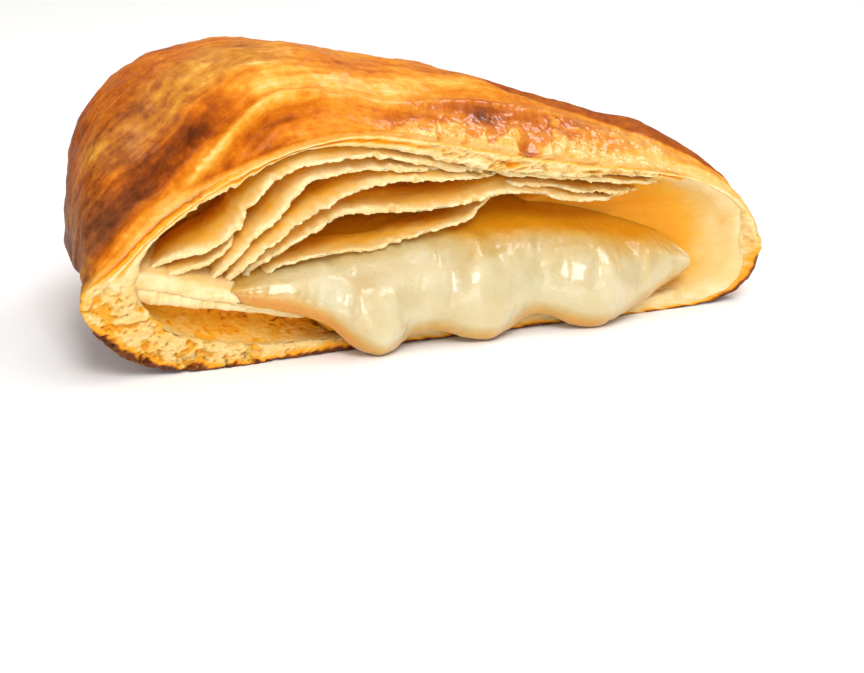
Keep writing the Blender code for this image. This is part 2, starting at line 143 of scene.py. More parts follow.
def corner_number(x, y, z, seed):
    """A fixed random number from 0 to 1 for each whole-number corner: the bits of its place, mixed."""
    x, y, z = (np.asarray(v).astype(np.uint32) for v in (x, y, z))
    mixed = x * np.uint32(374761393) + y * np.uint32(668265263) + z * np.uint32(2246822519)
    mixed = mixed + np.uint32((seed * 974711 + 12345) % 4294967296)
    mixed = (mixed ^ (mixed >> np.uint32(13))) * np.uint32(1274126177)
    mixed = (mixed ^ (mixed >> np.uint32(15))) * np.uint32(2246822519)
    return ((mixed ^ (mixed >> np.uint32(16))) >> np.uint32(8)).astype(float) / 16777216.0


def noise(points, seed=0):
    """Value noise from -1 to 1 at points: the blend of the random numbers at the eight corners round each."""
    whole = np.floor(points)
    part = points - whole
    blend = part * part * (3 - 2 * part)
    cell = whole.astype(np.int64)
    total = 0.0
    for corner in np.ndindex(2, 2, 2):
        weight = np.prod(np.where(corner, blend, 1 - blend), axis=-1)
        total = total + weight * corner_number(*(cell[..., k] + corner[k] for k in range(3)), seed)
    return total * 2 - 1


def fractal(points, octaves, seed=0):
    """Sum of noise at doubling scales and halving strength, from about -1 to 1."""
    total, strength = 0.0, 1.0
    for octave in range(octaves):
        total = total + strength * noise(points * 2.0 ** octave + 17.3 * octave, seed + octave)
        strength *= 0.5
    return total / (2 - 2 * strength) * 1.35


def cells(points, seed=0):
    """Distance from each point to the nearest of the points scattered one to a unit cell: small in a pore."""
    whole = np.floor(points)
    nearest = np.full(points.shape[:-1], 9.0)
    for step in np.ndindex(3, 3, 3):
        cell = (whole + np.array(step) - 1).astype(np.int64)
        spot = np.stack([corner_number(*np.moveaxis(cell, -1, 0), seed + k) for k in range(3)], -1)
        nearest = np.minimum(nearest, np.linalg.norm(cell + spot - points, axis=-1))
    return nearest


# %% [markdown]
# ## One way to make every piece
# Each piece is a row of closed rings with a skin over them, like a tube whose section changes as it goes.
# The two ends are closed with a fan, or the last ring joins the first when the row runs round in a
# circle. The signed volume tells whether the skin is inside out, and if it is, every face is turned round
# at once.

# %% Skin over a row of rings


def signed_volume(points, corners):
    """Sum of the volumes of the tetrahedra from the origin to each triangle: negative if the faces point
    inwards."""
    a, b, c = (points[corners[:, k]] for k in range(3))
    return np.einsum("ij,ij->i", a, np.cross(b, c)).sum() / 6


def skin(name, rings, values, materials, row_material=None, circle=False):
    """Makes a piece from rings, an array of (rows, points round, 3) in the drawing's millimetres. values
    holds the numbers that the material reads, one array of (rows, points round) for each name."""
    rows, count = rings.shape[:2]
    index = np.arange(rows * count).reshape(rows, count)
    beside = np.roll(index, -1, axis=1)
    above = (np.roll(index, -1, axis=0), np.roll(beside, -1, axis=0))
    last = rows if circle else rows - 1
    quads = np.stack([index[:last], beside[:last], above[1][:last], above[0][:last]], -1).reshape(-1, 4)
    points = rings.reshape(-1, 3)
    triangles = np.empty((0, 3), int)
    if not circle:
        points = np.vstack([points, rings[0].mean(axis=0), rings[-1].mean(axis=0)])
        start = np.stack([beside[0], index[0], np.full(count, rows * count)], -1)
        end = np.stack([index[-1], beside[-1], np.full(count, rows * count + 1)], -1)
        triangles = np.vstack([start, end])
    halves = np.vstack([quads[:, [0, 1, 2]], quads[:, [0, 2, 3]], triangles])
    if signed_volume(points, halves) < 0:
        quads, triangles = quads[:, ::-1], triangles[:, ::-1]
    mesh = bpy.data.meshes.new(name)
    mesh.from_pydata(((points - SHIFT) * MM).tolist(), [], quads.tolist() + triangles.tolist())
    for key, value in values.items():
        value = np.broadcast_to(value, (rows, count)).ravel()
        if not circle:
            value = np.concatenate([value, [value[:count].mean(), value[-count:].mean()]])
        mesh.attributes.new(key, "FLOAT", "POINT").data.foreach_set("value", value.astype(np.float32))
    for material in materials:
        mesh.materials.append(material)
    if row_material is not None:
        faces = np.repeat(np.asarray(row_material)[:last], count)
        if not circle:
            faces = np.concatenate([faces, np.full(count, row_material[0]), np.full(count, row_material[-1])])
        mesh.polygons.foreach_set("material_index", faces.astype(np.int32))
    mesh.shade_smooth()
    piece = bpy.data.objects.new(name, mesh)
    bpy.context.scene.collection.objects.link(piece)
    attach(piece, "root")
    print(name, "has", len(halves), "triangles")
    return piece


# %% [markdown]
# ## Colours and nodes
# Colours are written as the sRGB hex values a painter would pick, and one function turns them linear,
# because light adds up only in linear numbers. One small function adds any node with its settings and its
# links.

# %% Colours and nodes


def linear(code, alpha=1.0):
    """sRGB hex to linear colour: the low end is a straight line and the rest a power of 2.4."""
    parts = [int(code[k:k + 2], 16) / 255 for k in (1, 3, 5)]
    return (*(p / 12.92 if p <= 0.04045 else ((p + 0.055) / 1.055) ** 2.4 for p in parts), alpha)


def add(tree, kind, settings=None, links=None):
    """Adds a node. Its kind is Blender's type name without the word ShaderNode. A setting is an input's
    name or number, or a property. A link is an input and what feeds it: a socket, or a node, which then
    gives its first output."""
    node = tree.nodes.new("ShaderNode" + kind)
    for key, value in (settings or {}).items():
        if key == "stops":
            while len(node.color_ramp.elements) < len(value):
                node.color_ramp.elements.new(0.5)
            for element, (position, code) in zip(node.color_ramp.elements, value):
                element.position = position
                element.color = linear(code)
        elif isinstance(key, int) or key in node.inputs:
            node.inputs[key].default_value = value
        else:
            setattr(node, key, value)
    for key, source in (links or {}).items():
        socket = source.outputs[0] if hasattr(source, "outputs") else source
        tree.links.new(socket, node.inputs[key])
    return node


def empty_material(name):
    """A material with only its output node, and its node tree."""
    material = bpy.data.materials.new(name)
    material.use_nodes = True
    tree = material.node_tree
    tree.nodes.clear()
    return material, tree, add(tree, "OutputMaterial")


# %% [markdown]
# ## The baked crust
# Puff dough brushed with egg and baked. Egg and sugar brown from pale gold through orange to chestnut,
# and the egg leaves a thin film that is glossy only in places. How far each spot has browned is a number
# worked out with the shape, from 0 for pale to 1 for dark, and a ramp turns it into colour. The same number
# also holds painted shade in the hollow behind the crease and painted highlights on the crest and on the
# wet slope. Low on the left flank the brown is duller, which is painted shade, and a second ramp is mixed
# in. Rolling and folding drew the dough into fine streaks: the shape carries two more numbers, millimetres
# round the body and millimetres across the streaks, for them to follow.

# %% Crust material
CRUST_STOPS = (
    (0.00, "#F3C878"), (0.12, "#ECAE48"), (0.26, "#E28C20"), (0.42, "#CB6A09"), (0.56, "#A85005"),
    (0.70, "#7E3704"), (0.84, "#562304"), (1.00, "#301303"),
)
DULL_STOPS = (
    (0.00, "#E8C47C"), (0.26, "#C6923C"), (0.42, "#AC7630"), (0.56, "#8D552E"), (0.70, "#6B3C20"),
    (0.84, "#472714"), (1.00, "#2A160A"),
)


def crust_material():
    """Egg-washed crust: two browning ramps, streaks drawn along the folds, a matt base under a thin coat,
    and wrinkles."""
    material, tree, output = empty_material("egg_washed_crust")
    place = add(tree, "TexCoord").outputs["Object"]
    number = {
        name: add(tree, "Attribute", {"attribute_name": name}).outputs["Fac"]
        for name in ("bake", "gloss", "dull", "streaky", "around", "across")
    }
    # Streaks about 7 mm long and 1 mm wide, in the millimetres that the two numbers carry.
    long = add(tree, "Math", {"operation": "MULTIPLY", 1: 0.15}, {0: number["around"]})
    wide = add(tree, "Math", {"operation": "MULTIPLY", 1: 1.0}, {0: number["across"]})
    drawn = add(tree, "CombineXYZ", {}, {"X": long, "Y": wide})
    streak = add(tree, "TexNoise", {"Scale": 1.0, "Detail": 3.5, "Roughness": 0.58, "Distortion": 0.15},
                 {"Vector": drawn})
    # Mottling 1.2 mm across: 1 / 0.0012 is about 850.
    mottle = add(tree, "TexNoise", {"Scale": 850.0, "Detail": 4.0, "Roughness": 0.62}, {"Vector": place})
    centred = add(tree, "Math", {"operation": "SUBTRACT", 1: 0.5}, {0: streak})
    sized = add(tree, "Math", {"operation": "MULTIPLY"}, {0: centred, 1: number["streaky"]})
    shift = add(tree, "Math", {"operation": "MULTIPLY_ADD", 1: 0.38, 2: -0.19}, {0: mottle})
    spotted = add(tree, "Math", {"operation": "ADD"}, {0: number["bake"], 1: shift})
    # This number includes painted shade behind the crease and painted highlights on the crest and wet slope.
    shaded_brown = add(tree, "Math", {"operation": "SUBTRACT"}, {0: spotted, 1: sized})
    bright = add(tree, "ValToRGB", {"stops": CRUST_STOPS}, {"Fac": shaded_brown})
    dull = add(tree, "ValToRGB", {"stops": DULL_STOPS}, {"Fac": shaded_brown})
    # Inputs 6 and 7 and output 2 of the mix are the ones for colours.
    colour = add(tree, "Mix", {"data_type": "RGBA"}, {"Factor": number["dull"], 6: bright, 7: dull})
    # Bubbles in the film 0.5 mm across, and wrinkles of 1.5 mm, which stand up more where the film is thick.
    grain = add(tree, "TexNoise", {"Scale": 2000.0, "Detail": 3.0, "Roughness": 0.5}, {"Vector": place})
    wrinkle = add(tree, "TexNoise", {"Scale": 650.0, "Detail": 4.0, "Roughness": 0.55}, {"Vector": place})
    thick_film = add(tree, "Math", {"operation": "MULTIPLY_ADD", 1: 0.8, 2: 0.25}, {0: number["gloss"]})
    fine = add(tree, "Bump", {"Strength": 0.25, "Distance": 0.0003}, {"Height": grain})
    drawn_bump = add(tree, "Bump", {"Strength": 0.55, "Distance": 0.0005}, {"Height": sized, "Normal": fine})
    bump = add(tree, "Bump", {"Distance": 0.0009}, {
        "Strength": thick_film, "Height": wrinkle, "Normal": drawn_bump,
    })
    rough = add(tree, "MapRange", {"To Min": 0.40, "To Max": 0.62}, {"Value": grain})
    shader = add(tree, "BsdfPrincipled", {
        "IOR": 1.45, "Specular IOR Level": 0.06, "Coat Roughness": 0.13, "Coat IOR": 1.45,
    }, {
        "Base Color": colour.outputs[2], "Roughness": rough, "Normal": bump, "Coat Weight": number["gloss"],
    })
    tree.links.new(shader.outputs[0], output.inputs["Surface"])
    return material


# %% [markdown]
# ## The pale leaves and the torn crumb
# Inside, the dough has steamed instead of browning: thin buttery leaves, cream at a torn edge. Deeper in,
# between them and in the hollow, the colour turns golden and then brown, which is painted shade and bounced
# light on top of the dough's own tone. Butter and thin walls let some light through, so there is scattering
# under the surface, which reaches 1 mm for red and less than half of that for blue. The number that the
# material reads runs from 0 at a torn edge to 1 far inside, and carries both the tone and the painted shade.

# %% Leaf material
# From gold on, these stops mostly serve as painted shade and bounced light between leaves and in recesses.
LEAF_STOPS = (
    (0.00, "#EFDAA8"), (0.12, "#EACB8C"), (0.28, "#E5BD6C"), (0.46, "#E9AA2C"), (0.64, "#EC9E14"),
    (0.80, "#C4740A"), (1.00, "#5E2B06"),
)


def leaf_material():
    """Steamed buttery dough: cream to gold with depth, the gold partly painted shade, soft scattering, faint
    greasy shine, fibrous bump.
    """
    material, tree, output = empty_material("steamed_dough")
    place = add(tree, "TexCoord").outputs["Object"]
    # The number read here brings gold and brown deep between the leaves: painted shade and bounced light.
    deep = add(tree, "Attribute", {"attribute_name": "deep"}).outputs["Fac"]
    # Fibres about 0.6 mm wide and three times as long along the torn edges.
    stretch = add(tree, "Mapping", {"Scale": (0.35, 1.0, 1.0)}, {"Vector": place})
    fibre = add(tree, "TexNoise", {"Scale": 1500.0, "Detail": 4.0, "Roughness": 0.6}, {"Vector": stretch})
    patch = add(tree, "TexNoise", {"Scale": 330.0, "Detail": 2.0, "Roughness": 0.5}, {"Vector": place})
    sum_up = add(tree, "Math", {"operation": "ADD"}, {0: fibre, 1: patch})
    shift = add(tree, "Math", {"operation": "MULTIPLY_ADD", 1: 0.20, 2: -0.20}, {0: sum_up})
    tinted = add(tree, "Math", {"operation": "ADD"}, {0: deep, 1: shift})
    ramp = add(tree, "ValToRGB", {"stops": LEAF_STOPS}, {"Fac": tinted})
    bump = add(tree, "Bump", {"Strength": 0.35, "Distance": 0.0003}, {"Height": fibre})
    shader = add(tree, "BsdfPrincipled", {
        "IOR": 1.45, "Roughness": 0.45, "Specular IOR Level": 0.25, "Coat Weight": 0.06,
        "Coat Roughness": 0.3, "Subsurface Weight": 0.5, "Subsurface Radius": (1.0, 0.75, 0.40),
        "Subsurface Scale": 0.0010,
    }, {"Base Color": ramp, "Normal": bump})
    tree.links.new(shader.outputs[0], output.inputs["Surface"])
    return material


# %% [markdown]
# ## The melted cheese
# A soft cream cheese, still warm: milk fat in a smooth mass. It is pale, glossy from the fat that has
# come to its surface, and lights up from within, so its scattering reaches four times as far as that of
# the leaves. Where it thins out to a lip it turns golden. Up in the arch and where it runs back inside it
# is painted golden as well, as painted shade. The number that the material reads carries both.

# %% Cheese material
# The golden end of these stops also serves as painted shade in the arch and inside the filling.
CHEESE_STOPS = ((0.0, "#D5C9A3"), (0.30, "#C9B177"), (0.65, "#CC9C3E"), (1.0, "#CE8A0E"))


def cheese_material():
    """Melted cheese: pale and glossy, with deep soft scattering."""
    material, tree, output = empty_material("melted_cheese")
    place = add(tree, "TexCoord").outputs["Object"]
    thin = add(tree, "Attribute", {"attribute_name": "thin"}).outputs["Fac"]
    cloud = add(tree, "TexNoise", {"Scale": 160.0, "Detail": 3.0, "Roughness": 0.5}, {"Vector": place})
    shift = add(tree, "Math", {"operation": "MULTIPLY_ADD", 1: 0.6, 2: -0.20}, {0: cloud})
    tinted = add(tree, "Math", {"operation": "ADD"}, {0: thin, 1: shift})
    ramp = add(tree, "ValToRGB", {"stops": CHEESE_STOPS}, {"Fac": tinted})
    # Curd grain 2.2 mm across and finer, which breaks up the shine.
    curd = add(tree, "TexNoise", {"Scale": 450.0, "Detail": 4.0, "Roughness": 0.55}, {"Vector": place})
    bump = add(tree, "Bump", {"Strength": 0.50, "Distance": 0.0008}, {"Height": curd})
    shader = add(tree, "BsdfPrincipled", {
        "IOR": 1.46, "Roughness": 0.32, "Subsurface Weight": 0.7, "Subsurface Radius": (1.0, 0.80, 0.44),
        "Subsurface Scale": 0.0040, "Coat Weight": 1.0, "Coat Roughness": 0.16,
    }, {"Base Color": ramp, "Normal": bump})
    tree.links.new(shader.outputs[0], output.inputs["Surface"])
    return material


CRUST, LEAF, CHEESE = crust_material(), leaf_material(), cheese_material()
print("materials:", [m.name for m in bpy.data.materials if m.users or m in (CRUST, LEAF, CHEESE)])

# %% [markdown]
# ## The form of the body
# The solid is a loft: at the cut its outline is low, because the crust there slopes up and back to its
# crest, and behind the crest it tapers to the far end. The same outlines are used here, so that the skin
# lies on the solid.

# %% Outlines of the body, in millimetres
CUT_OUTLINE = (
    (0, 0), (-20, 0), (-36, 0), (-45, 2.2), (-50.3, 6.8), (-52, 11.6), (-47.6, 15.0),
    (-40, 21.3), (-31, 26.0), (-22, 28.9), (-12, 30.0), (-2, 28.3), (11, 25.2), (24, 22.7),
    (38, 20.0), (46.5, 16.4), (51.2, 11.0), (51.6, 5.8), (48, 1.6), (40, 0), (20, 0),
)
CREST_OUTLINE = (
    (0, 0), (-18, 0), (-33, 0), (-42.5, 2.4), (-47.5, 8.0), (-50.2, 14), (-49.9, 23.2),
    (-46.3, 33.0), (-38.6, 38.6), (-29, 40.8), (-18, 40.4), (-5, 38.0), (9, 34.8), (24, 30.6),
    (39, 25.0), (48, 18.5), (51.5, 12.5), (51, 6.6), (47, 1.8), (39, 0), (20, 0),
)
HOLLOW_OUTLINE = (
    (-44.2, 12.8), (-42.1, 17.8), (-37.1, 21.6), (-30.5, 24.6), (-23.0, 28.0), (-14.9, 28.7),
    (-5.0, 27.0), (6.0, 23.8), (18.0, 21.6), (28.2, 20.9), (36.5, 19.2), (43.2, 15.5), (46.8, 10.6),
    (46.8, 6.0), (42.0, 3.2), (31.4, 2.4), (14.9, 2.2), (-3.9, 2.0), (-18.0, 2.0), (-29.1, 2.6),
    (-37.5, 4.6), (-42.6, 8.4),
)
HOLLOW_DEPTH = 15.0
END_HEIGHT = 9.0
BASE_FLAT_TO = 38.0


def body(where, depth):
    """Plain surface of the body on a grid of depths and places round it. The front slope eases out from
    the cut outline to the crest outline, and the taper to the far end is a superellipse."""
    depth = np.asarray(depth, float)[:, None]
    cut, crest = closed_curve(CUT_OUTLINE, where), closed_curve(CREST_OUTLINE, where)
    over_the_top = ease((crest[:, 1] - 16) / 18) * ease((crest[:, 0] + 48) / 18)
    climb = (1 - (1 - np.clip(depth / (7 + 9 * over_the_top), 0, 1)) ** 1.9)[..., None]
    section = cut * (1 - climb) + crest * climb
    along = depth / DEPTH
    width = (1 - along ** 2.3) ** (1 / 2.1)
    height = (1 - along ** 3.2) ** 0.5
    turned_up = np.clip((depth - BASE_FLAT_TO) / (DEPTH - BASE_FLAT_TO), 0, 1)
    base = (1 - turned_up ** 2.6) ** 0.5
    above = section[..., 1] - END_HEIGHT
    z = END_HEIGHT + above * np.where(above > 0, height, base)
    return np.stack([section[..., 0] * width, np.broadcast_to(depth, z.shape), z], -1)


def normals_of(grid):
    """Unit normals of a grid of closed rings: the cross product of the way along and the way round."""
    around = np.roll(grid, -1, axis=1) - np.roll(grid, 1, axis=1)
    normal = np.cross(np.gradient(grid, axis=0), around)
    return normal / np.maximum(np.linalg.norm(normal, axis=-1), 1e-9)[..., None]


# %% [markdown]
# ## Relief of the crust
# Big relief follows the solid: the seam where the upper crust laps over the lower lip, the crease of the
# fold behind the cut, the valley that parts the front from the back, a pit in the slope, and low
# blisters. Fine relief is added only here: streaks that run the way the dough was rolled and folded, and
# on the right-hand slope the blistered glaze and the strip where it tore off.

# %% Relief of the crust
SEAM_HEIGHT, SEAM_DEPTH, SEAM_WIDTH, LAP_RISE = 11.6, 1.0, 1.3, 0.5
CREASE = (
    (-48.9, 0.7, 15.7), (-45.8, 0.7, 19.1), (-42.8, 0.6, 21.6), (-39.4, 0.5, 23.5), (-37.0, 0.8, 25.7),
    (-32.4, 1.8, 29.5), (-29.2, 3.1, 32.2), (-25.3, 4.5, 34.4), (-22.4, 4.9, 35.2), (-17.9, 4.9, 35.4),
    (-12.8, 4.4, 34.9), (-7.7, 3.9, 33.4), (0.0, 5.3, 32.6), (7.6, 6.7, 31.9), (14.5, 7.1, 30.5),
    (21.4, 7.3, 28.9), (26.8, 7.6, 27.4), (33.0, 7.0, 25.0), (39.0, 6.0, 21.8), (45.0, 5.0, 17.0),
    (50.0, 4.5, 12.0),
)
CREASE_RISE, CREASE_WIDTH, CREASE_DROP, CREASE_GROOVE = 1.2, 1.7, 0.6, 0.6
VALLEY = (
    (14.8, 13.7, 32.9), (22.8, 10.6, 29.9), (30.7, 7.6, 26.6), (38.2, 5.2, 22.6), (44.4, 4.4, 18.8),
    (49.3, 4.0, 14.2),
)
VALLEY_DEPTH, VALLEY_WIDTH, BACK_LOWER = 0.8, 1.7, 0.8
DARK_SPOT, PIT = (7.9, 4.8, 30.4), (13.2, 0.8, 25.5)
PIT_DEPTH, PIT_RADIUS = 0.9, 1.7
BLISTER_COUNT, BLISTER_RISE, BLISTER_RADIUS = 44, (0.15, 0.55), (2.5, 6.0)


def nearest_on_line(points, line):
    """Distance from each point to the nearest place on a line of straight pieces, and the x of that place."""
    nearest, foot = np.full(points.shape[:-1], np.inf), np.zeros(points.shape[:-1])
    for start, end in zip(np.asarray(line[:-1], float), np.asarray(line[1:], float)):
        piece = end - start
        share = np.clip((points - start) @ piece / (piece @ piece), 0, 1)
        place = start + share[..., None] * piece
        distance = np.linalg.norm(points - place, axis=-1)
        foot = np.where(distance < nearest, place[..., 0], foot)
        nearest = np.minimum(nearest, distance)
    return nearest, foot


def blister_places():
    """Middle, radius and rise of each blister, drawn over the upper crust."""
    draw = np.random.default_rng(7)
    places = []
    for _ in range(BLISTER_COUNT):
        middle = body(np.array([draw.uniform(0.29, 0.74)]), [draw.uniform(4, 52)])[0, 0]
        places.append((middle, draw.uniform(*BLISTER_RADIUS), draw.uniform(*BLISTER_RISE)))
    return places


def behind_line(points, line, width):
    """1 behind a line that runs from left to right over the crust, 0 in front of it, blurred over a width."""
    across = np.asarray(line, float)
    return ease((points[..., 1] - np.interp(points[..., 0], across[:, 0], across[:, 1])) / width + 0.5)


def big_relief(points):
    """Height of blisters, crease, valley, seam and lap. At the crease the front laps over the back: it climbs
    gently from a groove and drops off steeply behind."""
    x, y, z = np.moveaxis(points, -1, 0)
    height = np.zeros(x.shape)
    for middle, radius, rise in BLISTERS:
        height += rise * bell(np.linalg.norm(points - middle, axis=-1) / radius)
    crease = nearest_on_line(points, CREASE)[0]
    strong = 1 - 0.6 * ease((x + 24) / 12) - 0.4 * ease((x - 16) / 10)
    in_front = y < np.interp(x, *np.array(CREASE)[:, :2].T)
    fold = bell(crease / np.where(in_front, CREASE_WIDTH, CREASE_DROP))
    height += strong * (CREASE_RISE * fold - 0.35 * ~in_front * bell((crease - 1.9) / 1.1))
    height -= strong * CREASE_GROOVE * in_front * bell((crease - 2.6) / 1.1)
    height -= BACK_LOWER * ease((x - 12) / 12) * ease((y - 9) / 7) * ease((z - 15) / 6)
    height -= VALLEY_DEPTH * bell(nearest_on_line(points, VALLEY)[0] / VALLEY_WIDTH)
    over_seam = z - SEAM_HEIGHT
    side = ease((y - 1.5) / 5)
    height -= side * SEAM_DEPTH * bell(over_seam / SEAM_WIDTH)
    height += side * LAP_RISE * bell((over_seam - 2.4) / 1.6)
    return height * ease((z - 1) / 4)


BLISTERS = blister_places()
crest_line = closed_curve(CREST_OUTLINE, np.linspace(0, 1, 4000))
CREST_LENGTH = np.linalg.norm(np.diff(crest_line, axis=0), axis=1).sum()
print("the crust is", round(CREST_LENGTH, 1), "mm round")

# %% [markdown]
# ## Browning
# How brown each spot is follows from how it was baked, and on this pastry that goes by the crease of the
# fold: its crest is pale, partly as a painted highlight, the hollow right behind it is the darkest, partly
# as painted shade of that hollow, and further back pale and brown bands follow, which differ from the left
# flank to the crown and the right. So the browning is written as a few values across the crease at eight
# places along it, and everything between is blended. Noise then moves the bands about, so that none of
# them is straight. Where the film lifted from the right-hand slope the dough is paler, and the same pale
# patches also serve as painted highlights on the wet glaze. On the strip where the film tore off beside the
# cut the dough is paler too. Low on the sides and underneath the crust is a duller brown; low on the left
# flank that dullness is painted shade.

# %% Browning of the crust
# For the x of the nearest place on the crease: (mm behind the crease, browning) from front to back. The
# dark values just behind the crease are partly painted shade, the pale ones on it partly a painted
# highlight. Less than 0 mm is in front of it.
BANDS = (
    (-49, ((-2, 0.34), (0.0, 0.30), (0.4, 0.32), (1.0, 0.56), (4, 0.58), (10, 0.62), (16, 0.66),
        (40, 0.58))),
    (-42, ((-2, 0.34), (0.0, 0.26), (0.6, 0.40), (1.1, 0.64), (1.9, 0.80), (3.6, 0.82), (5.0, 0.70),
        (6.4, 0.62), (8.2, 0.46), (9.4, 0.52), (10.7, 0.36), (13, 0.48), (17, 0.62), (40, 0.52))),
    (-33, ((-4, 0.50), (-2.0, 0.50), (-0.9, 0.30), (-0.3, 0.10), (0.0, 0.08), (0.3, 0.30),
        (1.1, 0.46), (1.7, 0.66), (2.4, 0.80), (4.2, 0.80), (5.4, 0.60), (6.8, 0.46), (8.3, 0.42),
        (9.9, 0.46), (12, 0.52), (15, 0.48), (40, 0.46))),
    (-24, ((-5, 0.36), (-3.8, 0.44), (-2.9, 0.60), (-2.1, 0.54), (-1.1, 0.22), (0.0, 0.16),
        (0.5, 0.34), (0.9, 0.40), (2.3, 0.15), (5, 0.23), (7, 0.31), (9, 0.35), (13, 0.38), (40, 0.40))),
    (-12, ((-7, 0.26), (-5.8, 0.22), (-4.4, 0.28), (-2.8, 0.34), (-1.4, 0.38), (-0.4, 0.14),
        (2.4, 0.14), (4.5, 0.20), (7.1, 0.36), (10.8, 0.27), (20, 0.36), (40, 0.40))),
    (6, ((-8, 0.20), (-6.8, 0.26), (-5.4, 0.30), (-3.9, 0.34), (-2.3, 0.48), (-0.5, 0.50),
        (1.2, 0.34), (3.4, 0.24), (6.4, 0.32), (12, 0.34), (40, 0.40))),
    (22, ((-9, 0.16), (-7.6, 0.22), (-6.0, 0.32), (-4.4, 0.38), (-2.5, 0.43), (-0.5, 0.42),
        (1.2, 0.40), (3, 0.44), (40, 0.46))),
    (37, ((-8, 0.16), (0, 0.20), (3, 0.28), (40, 0.44))),
)


def streaks(points, where, seed):
    """Ridges drawn out round the body along the folds: three layers of noise, each longer than it is wide."""
    around = where * CREST_LENGTH + 0 * points[..., 0]
    across = points[..., 1] + 0.22 * points[..., 2] + 0.7 * noise(points / 5.0, seed + 50)
    total = 0.0
    for strength, length, width in ((0.50, 9.0, 2.0), (0.34, 6.0, 0.9), (0.22, 3.2, 0.45)):
        spot = np.stack([around / length, across / width, 0.1 * points[..., 0] + 0.5], -1)
        total = total + strength * noise(spot, seed + int(length))
    return 1.3 * total


def wet_zone(points):
    """1 on the right-hand front slope, from the crease to the cut, where the glaze stayed wet."""
    x, z = points[..., 0], points[..., 2]
    on_slope = (1 - behind_line(points, CREASE, 3.0)) * ease((z - 15) / 5)
    return ease((x + 14) / 16) * ease((42 - x) / 9) * on_slope


def peel_and_glint(points):
    """1 where the film of the wet zone has lifted, in patches of 1 to 4 mm, with more towards the cut. The
    pale patches also serve as painted highlights on the glaze.
    """
    near_cut = ease((5.5 - points[..., 1]) / 5.5)
    warped = points * np.array([0.8, 1.0, 0.6]) / 2.2 + 0.5 * fractal(points / 1.5, 2, 64)[..., None]
    lifted = fractal(warped, 3, 66) - 0.43 + 0.36 * near_cut + 0.5 * near_cut ** 6
    return wet_zone(points) * ease(lifted / 0.14)


def bare_edge(points):
    """1 on the strip beside the cut, at the right, where the film tore off and pale dough shows."""
    x, y, z = np.moveaxis(points, -1, 0)
    ragged = 2.3 + 0.9 * fractal(points / 2.0, 3, 72)
    place = ease((x - 17) / 8) * ease((50.5 - x) / 3) * ease((z - 13) / 3)
    return place * ease((ragged - y) / 0.5 + 0.5)


def browning_and_shade(points, where):
    """What the crust material reads: browning with painted shade and highlights, gloss, dullness that is
    partly painted shade, and strength of the streaks.
    """
    x, y, z = np.moveaxis(points, -1, 0)
    broad, blotch = fractal(points / 11.0, 3, 21), fractal(points / 3.2, 3, 31)
    crease, foot = nearest_on_line(points, CREASE)
    behind = crease * np.where(y > np.interp(x, *np.array(CREASE)[:, :2].T), 1, -1)
    moved = behind + ease(crease / 3) * (0.8 * broad + 0.5 * blotch)
    bake = 0.0
    places = np.array([place for place, _ in BANDS], float)
    for index, (place, band) in enumerate(BANDS):
        weight = np.interp(foot, places, np.eye(len(places))[index])
        # The dark values behind the crease are partly painted shade, the pale crest partly a painted
        # highlight.
        bake = bake + weight * np.interp(moved, *np.array(band, float).T)
    left = ease((-14 - x) / 10)
    calm = 1 - 0.5 * ease((behind - 7) / 10)
    bake = bake + 0.07 * broad + (0.05 + 0.05 * left) * blotch - 0.10 * calm * streaks(points, where, 3)
    # Lifted patches turn pale, and these pale patches also serve as painted highlights on the wet glaze.
    bake = bake * (1 - (0.45 + 0.45 * ease((5.5 - y) / 5.5)) * peel_and_glint(points))
    bake = bake * (1 - bare_edge(points)) + 0.03 * bare_edge(points)
    spot = np.linalg.norm(points - np.array(DARK_SPOT), axis=-1)
    pit = np.linalg.norm(points - np.array(PIT), axis=-1)
    bake = bake + 0.22 * bell(spot / 1.8) + 0.36 * np.exp(-(pit / PIT_RADIUS) ** 4)
    sliver = behind_line(points - np.array([0, 0.5, 0]), VALLEY, 0.5)
    sliver = sliver * ease((x - 4) / 8) * ease((z - 9) / 4) * ease((26 - y) / 14)
    bake = bake * (1 - sliver) + sliver * (0.57 + 0.06 * blotch)
    under = ease((6 - z) / 5)
    bake = bake * (1 - under) + under * (0.62 + 0.12 * broad + 0.08 * blotch)
    seam = bell((z - SEAM_HEIGHT) / 1.1) * ease((y - 1.5) / 4)
    bake = bake + 0.14 * seam
    # The dull ramp low on the left flank is painted shade.
    low = left * ease((28 - z) / 9) * ease((crease - 0.5) / 2)
    low = low * (0.2 + 0.8 * ease((48 - y) / 24))
    olive = left * ease((moved - 4.5) / 3) * ease((15 - moved) / 4) * ease((z - 24) / 6)
    dull = np.maximum(np.maximum(0.85 * low, 0.6 * olive), np.maximum(0.5 * under, 0.2 * sliver))
    gloss = (0.22 + 0.25 * broad) * ease((z - 9) / 8) * (1 - 0.6 * left)
    gloss = gloss + 0.85 * wet_zone(points) + 0.1 * peel_and_glint(points)
    streaky = 0.42 + 0.26 * left * ease((moved - 3.5) / 3) - 0.2 * ease((x - 20) / 12)
    streaky = streaky * (0.35 + 0.65 * ease((54 - y) / 16)) * calm
    return {
        "bake": np.clip(bake, 0, 0.86), "gloss": np.clip(gloss * (1 - 0.8 * sliver), 0.02, 1), "dull": dull,
        "streaky": streaky * (1 - 0.6 * sliver), "across": behind + 0.5 * noise(points / 5.0, 53),
    }


# %% [markdown]
# ## The crust, from the far end to the cut and on into the hollow
# One closed skin makes the outside, the ground of the cut face and the wall of the hollow behind it. Its
# rows start at the far end, run to the cut, cross the rim and go back into the hollow. The rows lie
# closest together near the cut, which is looked at most, and the points round it are closest on the upper
# crust.

